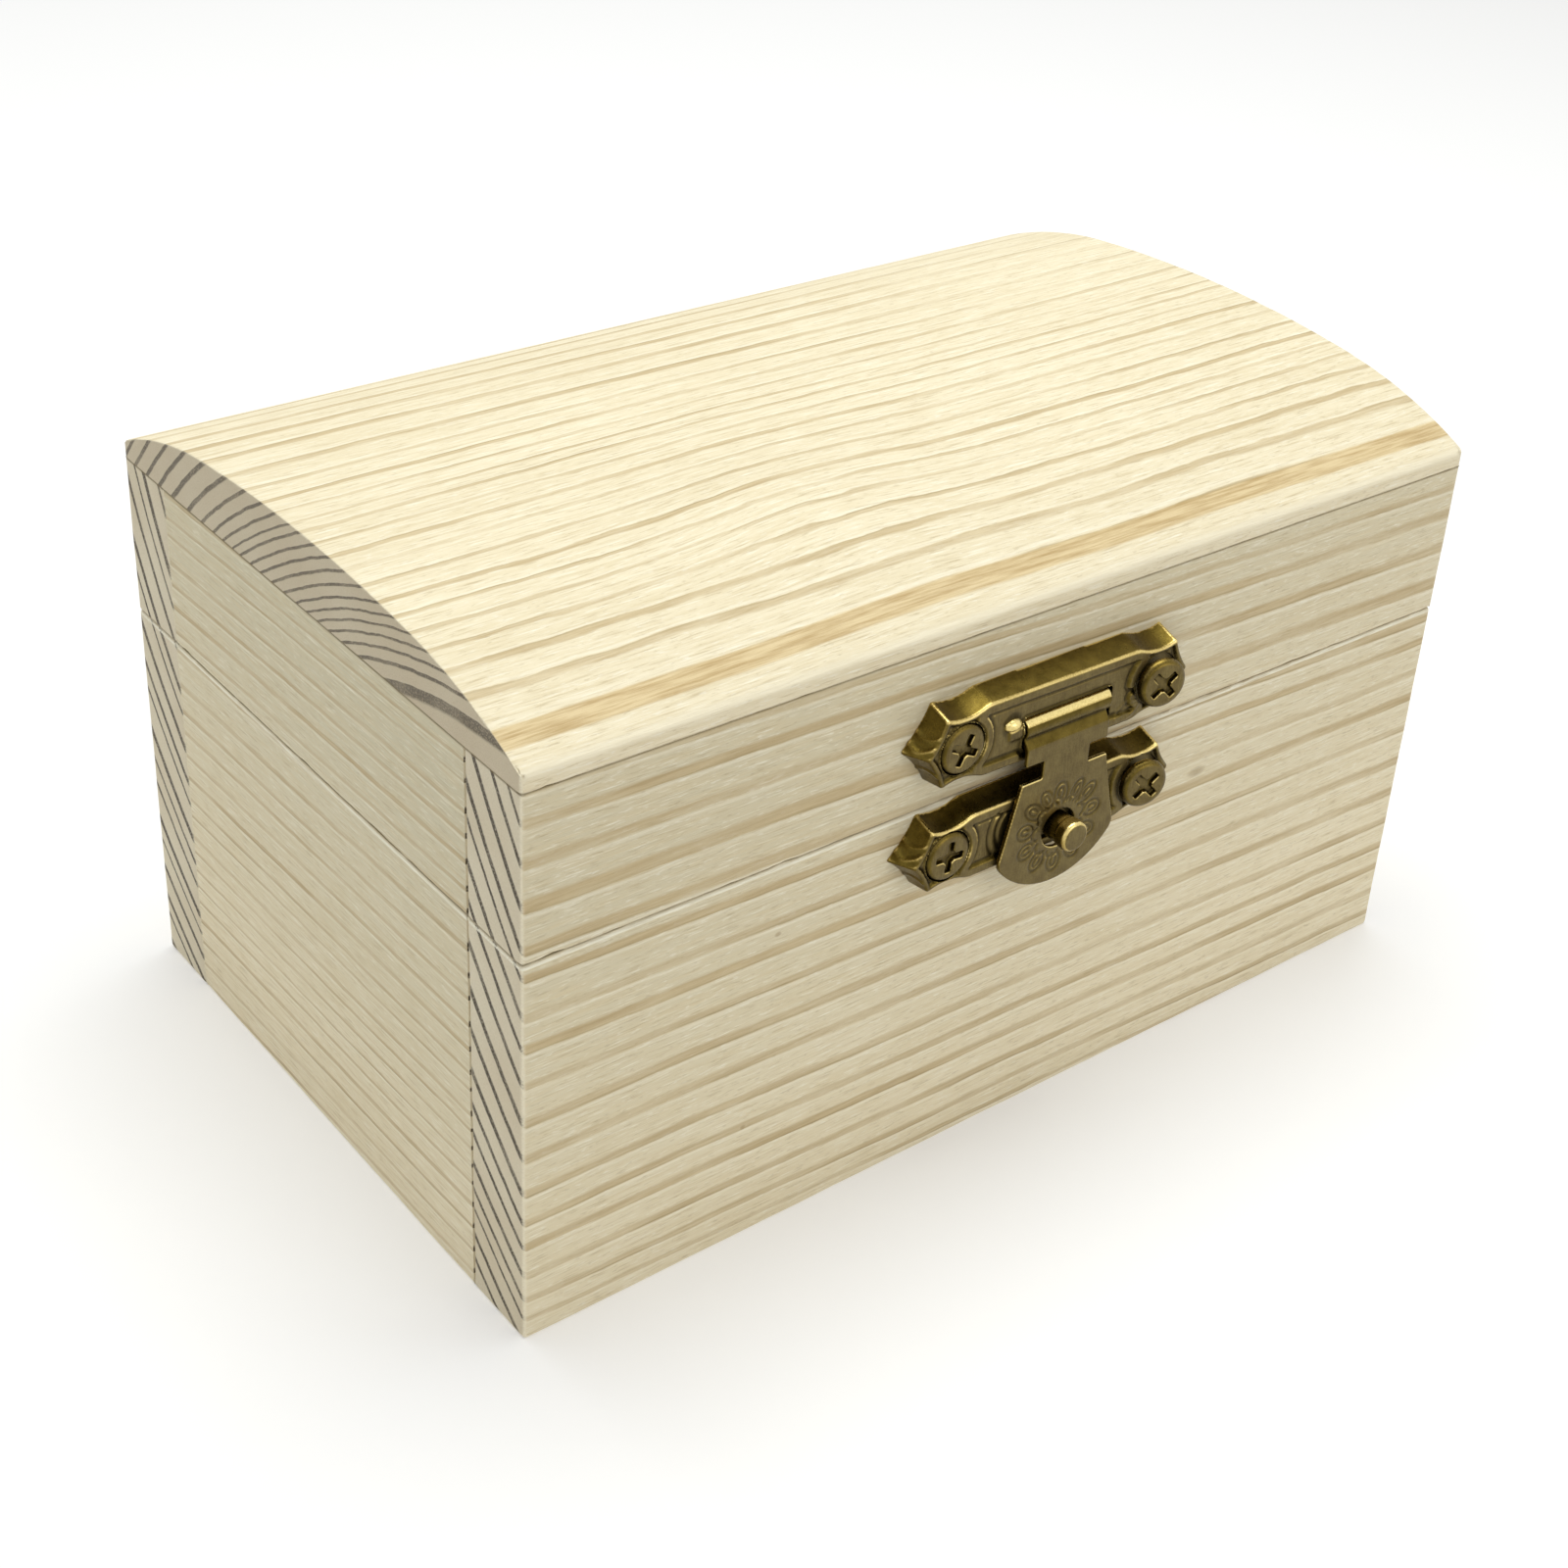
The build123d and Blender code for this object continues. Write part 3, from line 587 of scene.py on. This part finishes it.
def mark_wear(mesh, voxel, gain=1.0, rub_and_highlight=None, rounded=None, side_shade=None, less_gold=None):
    """Stores wear on convex edges, with a painted highlight on those that look up, dark patina in hollows
    with painted shade where asked, and how flat and forward-looking the skin is.
    """
    places, normals, edges = arrays(mesh)
    total, count = np.zeros_like(places), np.zeros(len(places))
    for one, two in ((0, 1), (1, 0)):
        np.add.at(total, edges[:, one], places[edges[:, two]])
        np.add.at(count, edges[:, one], 1)
    middle = total / np.maximum(count, 1)[:, None]
    bend = -np.einsum("ij,ij->i", middle - places, normals) / voxel
    bend = spread(bend, edges, 2)
    # Wear on convex edges; the weight on edges that look up is painted highlight, where rounded edges would
    # reflect the top lamp
    wear = np.clip(bend * 9.0 * gain, 0, 1) * (0.15 + 0.85 * eased(normals[:, 2], -0.1, 0.5))
    # Less gold where asked: beside the barrel, and where a plate's painted highlight and wear are held back
    if less_gold is not None:
        wear = wear * (1 - less_gold(places))
    if rub_and_highlight is not None:
        wear = np.clip(wear + rub_and_highlight(places, normals), 0, 1)
    pit = spread(np.clip(-bend * 9.0, 0, 1), edges, 2)
    # Painted shade added where asked, such as on the sides of screw heads
    if side_shade is not None:
        pit = np.maximum(pit, side_shade(normals))
    flat = eased(-normals[:, 1], 0.8, 0.96)
    if rounded is not None:
        flat = flat * (1 - rounded(places))
    for name, values in (("wear", wear), ("pit", pit), ("flat", flat)):
        layer = mesh.attributes.new(name, "FLOAT", "POINT")
        layer.data.foreach_set("value", values.astype(np.float32))


def press(mesh, lines, width, depth, facing=(0, -1, 0), axes=(0, 2)):
    """Presses grooves along lines into the skin that looks one way; a negative depth raises ribs.

    The lines are points on two of the axes.
    """
    places, normals, _ = arrays(mesh)
    samples = [point for line in lines for point in dense(line)]
    tree = kdtree.KDTree(len(samples))
    for index, (one, two) in enumerate(samples):
        tree.insert((one, 0, two), index)
    tree.balance()
    facing = np.array(facing, float)
    for index in np.nonzero(normals @ facing > 0.7)[0]:
        one, two = places[index, axes[0]], places[index, axes[1]]
        gap = tree.find((one, 0, two))[2]
        if gap < width:
            places[index] -= facing * depth * (0.5 + 0.5 * math.cos(math.pi * gap / width))
    put_back(mesh, places)


def dense(line, step=0.04):
    """Points along a line, close together."""
    points = []
    for (x0, z0), (x1, z1) in zip(line, line[1:]):
        count = max(1, int(math.dist((x0, z0), (x1, z1)) / step))
        points += [(x0 + (x1 - x0) * i / count, z0 + (z1 - z0) * i / count) for i in range(count)]
    return points + [line[-1]]


# A plate's raised border: how far in from the rim it starts and ends to slope, the panel's depth
# inside it, and the place, depth and width of the channel along it
BORDER, PANEL_DEPTH = (0.3, 0.62), 0.26
CHANNEL_PLACE, CHANNEL_DEPTH, CHANNEL_WIDTH = 0.72, 0.09, 0.16


def sink_panel(mesh, stand, holes):
    """Sinks a plate's front inside a raised border, with a fine channel along the border.

    stand is how far the front stands off the wood. holes are (x, z, half width, half height) of ovals
    round openings, whose walls are no part of the border.
    """
    places, normals, _ = arrays(mesh)
    above = stand_off(places)
    wall = (np.abs(normals[:, 1]) < 0.6) & (above > stand - 0.9)
    for x, z, half_width, half_height in holes:
        wall &= np.hypot((places[:, 0] - x) / half_width, (places[:, 2] - z) / half_height) > 1
    rim = places[wall][:, (0, 2)]
    tree = kdtree.KDTree(len(rim))
    for index, (x, z) in enumerate(rim):
        tree.insert((x, 0, z), index)
    tree.balance()
    for index in np.nonzero((-normals[:, 1] > 0.6) & (above > stand - 0.4))[0]:
        gap = tree.find((places[index, 0], 0, places[index, 2]))[2]
        channel = math.exp(-((gap - CHANNEL_PLACE) / CHANNEL_WIDTH) ** 2)
        places[index, 1] += PANEL_DEPTH * float(eased(gap, *BORDER)) + CHANNEL_DEPTH * channel
    put_back(mesh, places)


def metal_piece(node, voxel, shape=None, relax=2, **marks):
    """A metal piece of the latch or a hinge on its CAD node, with relief and wear."""
    mesh = remeshed(node, voxel, relax)
    if shape is not None:
        shape(mesh)
    mark_wear(mesh, voxel, **marks)
    piece = bpy.data.objects.new("fine_" + node, mesh)
    bpy.context.scene.collection.objects.link(piece)
    mesh.materials.clear()
    mesh.materials.append(bronze)
    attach(piece, nodes[node]["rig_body"])
    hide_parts(node)


def make_bronze():
    """Antique bronze plating: olive-brown, duller on flat faces, worn to pale gold on raised edges, with
    painted highlights in the same pale gold where edges and the barrel face the top lamp.
    """
    tree = Tree("antique_bronze")
    spot = tree.millimetres()
    x, y, z = tree.separate(spot)
    wear, pit, is_flat = tree.attribute("wear"), tree.attribute("pit"), tree.attribute("flat")
    blotch = tree.noise(spot, 0.7, 4.0, 0.6)
    speck = tree.noise(spot, 5.0, 3.0, 0.6)
    brushed = tree.noise(scaled(tree, x, y, z, (6.0, 6.0, 0.7)), 1.0, 3.0, 0.6)
    dust = tree.noise(spot, 22.0, 2.0, 0.5)
    coat = tree.mix(tree.span(blotch, 0.35, 0.65), srgb("54461a"), srgb("695926"))
    flat = tree.mix(tree.span(blotch, 0.35, 0.65), srgb("625433"), srgb("71633d"))
    flat = tree.mix(tree.math("MULTIPLY", tree.span(brushed, 0.5, 0.72), 0.4), flat, srgb("84764c"))
    flat = tree.mix(tree.math("MULTIPLY", tree.span(brushed, 0.46, 0.28), 0.4), flat, srgb("4f4430"))
    color = tree.mix(is_flat, coat, flat)
    color = tree.mix(tree.math("MULTIPLY", tree.span(speck, 0.5, 0.75), 0.35), color, srgb("41351c"))
    # Dark patina in hollows, with painted shade on the sides of screw heads
    color = tree.mix(tree.math("MULTIPLY", pit, 0.85), color, srgb("241d10"))
    # Pale gold where edges are worn, and painted highlight in the same gold along up-facing edges and the
    # barrel's top
    worn_and_lit = tree.math("MULTIPLY", wear, tree.span(speck, 0.25, 0.6, 0.75, 1.15), clamp=True)
    gold = tree.mix(worn_and_lit, srgb("a3863c"), srgb("f3de97"))
    color = tree.mix(tree.span(worn_and_lit, 0.12, 0.5), color, gold)
    rough = tree.span(is_flat, 0, 1, 0.3, 0.44)
    rough = tree.math("SUBTRACT", rough, tree.math("MULTIPLY", worn_and_lit, 0.12))
    rough = tree.math("ADD", rough, tree.span(speck, 0.3, 0.7, -0.05, 0.07))
    height = tree.math("ADD", tree.math("MULTIPLY", speck, 0.6), tree.math("MULTIPLY", dust, 0.25))
    height = tree.math("ADD", height, tree.math("MULTIPLY", brushed, 0.3))
    normal = tree.bump(height, 0.35, 0.00006)
    return tree.finish(color, rough, normal, metallic=1.0)


# Floor, lights and camera
def make_floor():
    """A pale floor that glows a little, so that it looks white under a plain level of light."""
    mesh = bpy.data.meshes.new("floor")
    floor = bpy.data.objects.new("floor", mesh)
    bpy.context.scene.collection.objects.link(floor)
    reach = 3.0
    corners = [(-reach, -reach, 0), (reach, -reach, 0), (reach, reach, 0), (-reach, reach, 0)]
    mesh.from_pydata(corners, [], [(0, 1, 2, 3)])
    tree = Tree("floor")
    diffuse = tree.node("ShaderNodeBsdfDiffuse")
    diffuse.inputs["Color"].default_value = (0.8, 0.8, 0.8, 1)
    white = tree.node("ShaderNodeEmission")
    white.inputs["Strength"].default_value = 0.25
    both = tree.node("ShaderNodeAddShader")
    tree.links.new(diffuse.outputs[0], both.inputs[0])
    tree.links.new(white.outputs[0], both.inputs[1])
    out = tree.node("ShaderNodeOutputMaterial")
    tree.links.new(both.outputs[0], out.inputs[0])
    mesh.materials.append(tree.material)


def make_world():
    """Soft light all round; the camera, gloss and glass see plain white."""
    world = bpy.data.worlds.new("studio")
    bpy.context.scene.world = world
    world.use_nodes = True
    tree = world.node_tree
    tree.nodes.clear()
    out = tree.nodes.new("ShaderNodeOutputWorld")
    soft = tree.nodes.new("ShaderNodeBackground")
    soft.inputs[0].default_value = (1.0, 0.97, 0.93, 1)
    soft.inputs[1].default_value = 0.35
    white = tree.nodes.new("ShaderNodeBackground")
    white.inputs[0].default_value = (1, 1, 1, 1)
    white.inputs[1].default_value = 1.0
    path = tree.nodes.new("ShaderNodeLightPath")
    seen = path.outputs["Is Camera Ray"]
    for ray in ("Is Glossy Ray", "Is Transmission Ray"):
        either = tree.nodes.new("ShaderNodeMath")
        either.operation = "MAXIMUM"
        tree.links.new(seen, either.inputs[0])
        tree.links.new(path.outputs[ray], either.inputs[1])
        seen = either.outputs[0]
    pick = tree.nodes.new("ShaderNodeMixShader")
    tree.links.new(seen, pick.inputs[0])
    tree.links.new(soft.outputs[0], pick.inputs[1])
    tree.links.new(white.outputs[0], pick.inputs[2])
    tree.links.new(pick.outputs[0], out.inputs[0])


def lamp(name, place, target, width, height, power, color):
    data = bpy.data.lights.new(name, "AREA")
    data.shape = "RECTANGLE"
    data.size, data.size_y = width, height
    data.energy = power
    data.color = color
    made = bpy.data.objects.new(name, data)
    bpy.context.scene.collection.objects.link(made)
    made.location = place
    made.rotation_mode = "QUATERNION"
    made.rotation_quaternion = (Vector(target) - Vector(place)).to_track_quat("-Z", "Y")


def make_lights():
    lamp("top_light", (0.05, 0.1, 0.75), (0, 0, 0.05), 0.6, 0.5, 4.5, (0.97, 1, 1))
    lamp("front_light", (0.15, -0.75, 0.45), (0, 0, 0.03), 0.5, 0.4, 0.9, (1, 0.97, 0.94))
    lamp("side_light", (-0.75, -0.15, 0.3), (0, 0, 0.03), 0.4, 0.4, 0.08, (0.98, 0.98, 1))


# The photograph's camera: place in metres, angles, and focal length and middle in its pixels
CAMERA_PLACE = Vector((-0.15053, -0.18288, 0.17379))
CAMERA_AZIMUTH = math.radians(-40.864)
CAMERA_ELEVATION = math.radians(30.641)
CAMERA_ROLL = math.radians(4.2335)
FOCAL_PX = 2527.78
MIDDLE_PX = (872.04, 707.49)
IMAGE_PX = 1600
SENSOR = 36.0


def make_camera():
    data = bpy.data.cameras.new("camera")
    camera = bpy.data.objects.new("camera", data)
    bpy.context.scene.collection.objects.link(camera)
    az, el = CAMERA_AZIMUTH, CAMERA_ELEVATION
    back = Vector((math.sin(az) * math.cos(el), -math.cos(az) * math.cos(el), math.sin(el)))
    forward = -back
    right = forward.cross(Vector((0, 0, 1))).normalized()
    up = right.cross(forward)
    rolled_right = math.cos(CAMERA_ROLL) * right + math.sin(CAMERA_ROLL) * up
    rolled_up = -math.sin(CAMERA_ROLL) * right + math.cos(CAMERA_ROLL) * up
    turn = Matrix((rolled_right, rolled_up, back)).transposed()
    camera.matrix_world = Matrix.Translation(CAMERA_PLACE) @ turn.to_4x4()
    data.sensor_fit = "HORIZONTAL"
    data.sensor_width = SENSOR
    data.lens = FOCAL_PX * SENSOR / IMAGE_PX
    data.shift_x = (IMAGE_PX / 2 - MIDDLE_PX[0]) / IMAGE_PX
    data.shift_y = (MIDDLE_PX[1] - IMAGE_PX / 2) / IMAGE_PX
    data.clip_start = 0.01
    data.clip_end = 20
    bpy.context.scene.camera = camera


# The boards and the logs they were sawn from. Heights and depths of the rings are read at the left end.
def heights_to_radii(pith, face, heights):
    """Radii of the rings that cross an upright face at the given heights."""
    return [math.dist(pith, (face, height)) for height in heights]


FRONT_PITH = (-129.0, 116.0)
FRONT_RING_HEIGHTS = (68.0, 64.4, 61.3, 57.9, 53.8, 49.3, 44.9, 42.0, 37.8, 34.3, 30.3, 25.9, 21.8, 17.6,
                      14.1, 11.0, 7.4, 4.4, 2.1, -1.2, -4.0, -7.5, -11.0)
BACK_PITH = (-43.0, 91.0)
RIGHT_PITH = (25.0, 180.0)
END_PITH = (-15.0, 210.0)
END_RING_HEIGHTS = (70.0, 66.5, 63.0, 60.6, 58.6, 55.4, 52.9, 50.2, 47.3, 45.0, 40.8, 37.7, 35.2, 32.2,
                    29.4, 26.7, 24.7, 21.7, 19.9, 17.6, 15.5, 13.4, 10.7, 8.0, 5.0, 2.2, -1.0, -4.0)
FRONT_KNOTS = ((24.0, 34.5, 2.4, 1.1), (-32.0, 36.0, 0.7, 0.5), (-35.0, 14.0, 0.6, 0.5))
TOP_PITH = (-37.0, -1.0)
TOP_RING_DEPTHS = (45.0, 40.0, 35.2, 31.2, 27.1, 23.2, 19.3, 14.8, 10.7, 7.5, 4.7, 2.1, 0.2, -2.5, -5.2,
                   -8.1, -11.2, -14.3, -17.1, -19.8, -22.7, -25.6, -28.8, -32.6)
TOP_INNER_RADII = (61.5, 58.0, 54.0, 49.5)


def make_woods():
    front_radii = heights_to_radii(FRONT_PITH, front_y / MM, FRONT_RING_HEIGHTS)
    back_radii = [40 + 2.45 * ring + 0.5 * math.sin(ring * 2.3) for ring in range(38)]
    right_radii = [142 + 2.9 * ring + 0.7 * math.sin(ring * 1.9) for ring in range(26)]
    end_radii = heights_to_radii(END_PITH, -box_reach, END_RING_HEIGHTS)
    rim, crown = back_y / MM, top_high.z / MM
    top_radii = [math.dist(TOP_PITH, (depth, arch_height(depth, rim, crown))) for depth in TOP_RING_DEPTHS]
    top_radii += TOP_INNER_RADII
    return {
        "front": pine("pine_front", Rings("X", FRONT_PITH, front_radii), 11.0, drift=2.9, band=0.22,
                      upper_shade="d9cfb0", knots=FRONT_KNOTS),
        "back": pine("pine_back", Rings("X", BACK_PITH, back_radii), 23.0, drift=-2.0, contrast=0.8),
        "left": pine("pine_left", Rings("Y", END_PITH, end_radii), 37.0, drift=2.9, wander=0.5, band=0.13,
                     contrast=0.95, upper_shade="d6ceb0"),
        "right": pine("pine_right", Rings("Y", RIGHT_PITH, right_radii), 41.0, band=0.2, contrast=0.7),
        "top": pine("pine_top", Rings("X", TOP_PITH, top_radii), 53.0, wander=0.5, band=0.17,
                    contrast=0.95, bulge=(-15.0, -18.0, 14.0, 11.0, 2.2), stripe=(-35.2, -32.8),
                    calm=(40.0, 12.0), end_dark=0.85),
    }


CORNERS = ("left front", "right front", "left back", "right back")
FEET = ("low front", "low back", "low left", "low right")


def edge_sizes(*groups):
    """Sizes of a board's edges. Each group is a size and the edges, named by the two faces that meet."""
    return {frozenset(edge.split()): size for size, *edges in groups for edge in edges}


def make_boards(woods):
    outer, split, joint = 0.45, 0.3, 0.1
    for face in ("front", "back"):
        rounds = edge_sizes((outer, *CORNERS), (outer * 0.8, *FEET), (split * 1.3, f"high {face}"),
                            (split, "high left", "high right"))
        board(f"base_{face}_board", woods[face], "base", rounds, edge_sizes((0.5, f"high {face}")), 3.0)
    for face in ("front", "back"):
        rounds = edge_sizes((outer, *CORNERS), (split * 0.5, f"low {face}"),
                            (joint, f"high {face}", "low left", "low right"))
        board(f"lid_{face}_rail", woods[face], "lid", rounds, edge_sizes((0.4, f"low {face}")), 8.0)
    end_steps = (2.5, 0.7, 2.5)
    for side in ("left", "right"):
        rounds = edge_sizes((outer * 0.8, f"low {side}"), (split, f"high {side}"))
        chips = edge_sizes((0.35, f"high {side}"))
        board(f"base_{side}_end", woods[side], "base", rounds, chips, 5.0, end_steps)
        rounds, chips = edge_sizes((split * 0.7, f"low {side}")), edge_sizes((0.25, f"low {side}"))
        board(f"lid_{side}_end", woods[side], "lid", rounds, chips, 6.0, end_steps)
    rounds = edge_sizes((0.9, "high front", "high back"), (0.16, "high left", "high right"),
                        (outer, *CORNERS), (joint, *FEET))
    chips = edge_sizes((0.2, "high left", "high right", "low front"))
    board("lid_top_board", woods["top"], "lid", rounds, chips, 9.0, (0.7, 0.7, 2.5), crowned)


def make_plywood():
    """Thin plywood: broad pale figure with fine fibres."""
    tree = Tree("plywood")
    x, y, z = tree.separate(tree.millimetres())
    figure = tree.noise(scaled(tree, x, y, z, (0.012, 0.11, 0.4), 4), 1.0, 3.0, 0.5, distortion=0.6)
    rings = tree.math("FRACT", tree.math("MULTIPLY", figure, 9.0))
    line = tree.math("MULTIPLY", tree.span(rings, 0.5, 0.9, smooth=True),
                     tree.span(rings, 0.95, 1.0, 1.0, 0.0))
    fibre = tree.noise(scaled(tree, x, y, z, (0.25, 4.0, 4.0), 2), 1.0, 4.0, 0.6)
    color = tree.mix(tree.span(fibre, 0.3, 0.7), srgb("e6d6b0"), srgb("d4bf92"))
    color = tree.mix(tree.math("MULTIPLY", line, 0.55), color, srgb("bd9f68"))
    normal = tree.bump(fibre, 0.4, 0.0001)
    return tree.finish(color, tree.span(fibre, 0.3, 0.7, 0.65, 0.82), normal)


# The latch's marks: a flower round the stud's hole, a leaf, arcs and ribs
def arc_line(middle, radius, start, stop, squash=1.0, tilt=0.0):
    """Points of an arc of an ellipse, angles in degrees from +X towards +Z."""
    points, steps = [], 24
    turn = math.radians(tilt)
    for i in range(steps + 1):
        angle = math.radians(start + (stop - start) * i / steps)
        u, v = radius * math.cos(angle), radius * squash * math.sin(angle)
        points.append((middle[0] + u * math.cos(turn) - v * math.sin(turn),
                       middle[1] + u * math.sin(turn) + v * math.cos(turn)))
    return points


def petal(middle, length, width, angle, half_turn):
    """Outline of a petal whose long axis lies at an angle, open at its root."""
    return arc_line(middle, length / 2, -half_turn, half_turn, width / length, angle)


def flap_engraving():
    """A full round flower about the stud: petals with double outlines, and scallops nearer the hole."""
    middle = middle_of("latch_stud")
    lines = []
    # Direction of each petal, how far out it lies, its length and its width
    petals = ((92, 3.9, 2.6, 1.8), (60, 4.1, 2.5, 1.3), (38, 4.5, 2.7, 1.5), (8, 4.5, 2.2, 1.7),
              (-24, 4.4, 2.2, 1.6), (-58, 4.2, 2.3, 1.6), (-92, 4.2, 2.2, 1.7), (-126, 4.2, 2.3, 1.6),
              (-158, 4.4, 2.2, 1.7), (170, 4.5, 2.2, 1.7), (142, 4.5, 2.7, 1.5), (118, 4.1, 2.5, 1.3))
    scallops, scallop_reach, scallop_radius = 9, 2.75, 0.75
    for angle, reach, length, width in petals:
        turn = math.radians(angle)
        place = (middle[0] + reach * math.cos(turn), middle[1] + reach * math.sin(turn))
        lines.append(petal(place, length, width, angle, 155))
        lines.append(petal(place, length * 0.5, width * 0.45, angle, 130))
    for scallop in range(scallops):
        angle = (scallop + 0.5) * 360 / scallops
        turn = math.radians(angle)
        place = (middle[0] + scallop_reach * math.cos(turn), middle[1] + scallop_reach * math.sin(turn))
        lines.append(arc_line(place, scallop_radius, -80, 80, 1.0, angle))
    return lines


def leaf(start, stop, bulge):
    """Two bowed sides and a vein between two points."""
    along = (stop[0] - start[0], stop[1] - start[1])
    across = (-along[1], along[0])
    sides = []
    for side in (-bulge, 0, bulge):
        sides.append([(start[0] + along[0] * t + across[0] * side * math.sin(math.pi * t),
                       start[1] + along[1] * t + across[1] * side * math.sin(math.pi * t))
                      for t in np.linspace(0, 1, 13)])
    return sides


# Places on the latch plates as (x, z), in millimetres: the upper plate's knob beside the barrel and the
# ends of its leaf, and the middle of the lower plate's arcs
KNOB, LEAF_ENDS, ARCS_MIDDLE = (-6.8, 51.95), ((7.0, 47.9), (10.4, 49.3)), (-4.5, 39.6)
# Half width and half height of the ovals round a screw's seat, the stud's foot, the window and the knob
SEAT_OVAL, FOOT_OVAL, WINDOW_OVAL, KNOB_OVAL = (3.4, 2.97), (1.6, 1.6), (9.2, 3.4), (1.9, 1.7)


def end_ribs(mesh, z):
    """Bowed ribs on the slanting walls of a plate's left end: two above its middle and one below."""
    for rise, bow, width, height, side in ((0.45, 0.35, 0.42, 0.16, 1), (1.55, 0.3, 0.36, 0.09, 1),
                                           (-1.7, -0.35, 0.4, 0.12, -1)):
        rib = [(front_y / MM - off, z + rise + bow * (off - 1.4) ** 2) for off in np.linspace(0.2, 2.6, 14)]
        press(mesh, [rib], width, -height, (-0.82, 0, 0.57 * side), (1, 2))


def make_latch():
    pin_low, pin_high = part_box("latch_pin")
    pin_y, pin_z = (pin_low.y + pin_high.y) / 2 / MM, middle_of("latch_pin")[1]
    stand = (front_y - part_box("latch_lower_plate")[0].y) / MM
    knob_x, knob_z = KNOB
    upper_screw, lower_screw = middle_of("latch_upper_screw_left"), middle_of("latch_lower_screw_left")
    upper_x, lower_x = middle_of("latch_upper_plate")[0], middle_of("latch_lower_plate")[0]

    def upper(mesh):
        """Border, leaf, ribs and flattened knob of the upper plate, which is turned a little."""
        right_screw = (2 * upper_x - upper_screw[0], upper_screw[1] - 0.3)
        window = (middle_of("latch_flap")[0], pin_z - 0.2)
        sink_panel(mesh, stand, [(*upper_screw, *SEAT_OVAL), (*right_screw, *SEAT_OVAL),
                                 (*window, *WINDOW_OVAL), (*KNOB, *KNOB_OVAL)])
        press(mesh, leaf(*LEAF_ENDS, 0.22), 0.3, -0.08)
        end_ribs(mesh, upper_screw[1])
        places, _, _ = arrays(mesh)
        near = np.hypot(places[:, 0] - knob_x, places[:, 2] - knob_z) < 1.6
        proud = near & (stand_off(places) > stand - 0.24)
        places[proud, 2] = knob_z + (places[proud, 2] - knob_z) * 0.66
        put_back(mesh, places)

    def lower(mesh):
        """Border, arcs and ribs of the lower plate."""
        right_screw = (2 * lower_x - lower_screw[0], lower_screw[1])
        sink_panel(mesh, stand, [(*lower_screw, *SEAT_OVAL), (*right_screw, *SEAT_OVAL),
                                 (*middle_of("latch_stud"), *FOOT_OVAL)])
        arcs = [arc_line(ARCS_MIDDLE, 3.9, 140, 215), arc_line(ARCS_MIDDLE, 2.9, 135, 215)]
        press(mesh, arcs, 0.42, 0.13)
        end_ribs(mesh, lower_screw[1])

    def flower(mesh):
        press(mesh, flap_engraving(), 0.32, 0.11)

    def less_highlight(plate_x, plate_z):
        """A plate's left end, lower half and skin beside its right screw, where less of the gold of wear
        and painted highlight goes.
        """
        def amount(places):
            across, up = places[:, 0] - plate_x, places[:, 2] - plate_z
            left = 0.6 * eased(-across, 14.2, 15.2)
            below = 0.8 * eased(-up, 0.8, 2.0)
            right = 0.85 * eased(across, 7.2, 8.2) * eased(-up, -3.0, -2.5)
            return np.maximum(np.maximum(left, below), right)

        return amount

    def from_pin(places):
        return np.hypot(places[:, 1] - pin_y, places[:, 2] - pin_z)

    def by_barrel(places):
        """Skin so near the barrel that little rubs it."""
        return eased(-from_pin(places), -3.0, -2.6)

    def barrel(places):
        """The rolled barrel's own skin, all but its underside."""
        return eased(-from_pin(places), -1.6, -1.42) * eased(places[:, 2], pin_z - 1.2, pin_z - 1.0)

    def barrel_highlight(places, normals):
        """Painted highlight: a gold line along the barrel's upper front, where the top lamp reflects."""
        upper_half = eased(places[:, 2], pin_z + 0.1, pin_z + 0.3)
        slant = eased(normals[:, 2], 0.3, 0.6) * (1 - eased(normals[:, 2], 0.86, 0.99))
        return 0.85 * upper_half * barrel(places) * slant

    def knob(places, normals):
        """The worn front of the knob."""
        away = np.hypot(places[:, 0] - knob_x, (places[:, 2] - knob_z) * 1.4)
        return 0.55 * eased(-away, -1.5, -0.9) * eased(stand_off(places), stand - 0.2, stand)

    def nose_highlight_and_rim(places, normals):
        """Painted highlight along the top of the stud's outer part, and wear on the rim of its end."""
        beyond = eased(stand_off(places), 3.9, 4.7)
        rim = eased(stand_off(places), 5.6, 5.95) * (-normals[:, 1] < 0.93)
        return np.maximum(0.8 * beyond * eased(normals[:, 2], 0.6, 0.9), 0.3 * rim)

    def sides(normals):
        """Painted shade on the side of a screw's head, all but its top."""
        return 0.8 * (1 - eased(-normals[:, 1], 0.45, 0.85)) * (1 - eased(normals[:, 2], 0.6, 0.95))

    looks = {
        "latch_flap": dict(voxel=0.09, shape=flower, gain=0.8, rounded=barrel, rub_and_highlight=barrel_highlight,
                           less_gold=by_barrel),
        "latch_stud": dict(voxel=0.08, relax=9, rub_and_highlight=nose_highlight_and_rim),
        "latch_pin": dict(voxel=0.1),
        "latch_upper_plate": dict(voxel=0.11, shape=upper, gain=1.5, rub_and_highlight=knob,
                                  less_gold=less_highlight(upper_x, upper_screw[1])),
        "latch_lower_plate": dict(voxel=0.11, shape=lower, gain=1.5,
                                  less_gold=less_highlight(lower_x, lower_screw[1])),
    }
    screw = dict(voxel=0.09, relax=4, gain=0.7, side_shade=sides)
    for node in nodes:
        if node.startswith("latch"):
            metal_piece(node, **looks.get(node, screw))


def make_hinges():
    for node in nodes:
        if "hinge" in node:
            metal_piece(node, 0.1 if "screw" in node else 0.15, relax=1, gain=0.7)


make_floor()
make_world()
make_lights()
make_camera()
bronze = make_bronze()
make_boards(make_woods())
make_latch()
make_hinges()
panel = nodes["base_bottom_panel"]
panel.data.materials.clear()
panel.data.materials.append(make_plywood())

scene = bpy.context.scene
scene.view_settings.view_transform = "Standard"
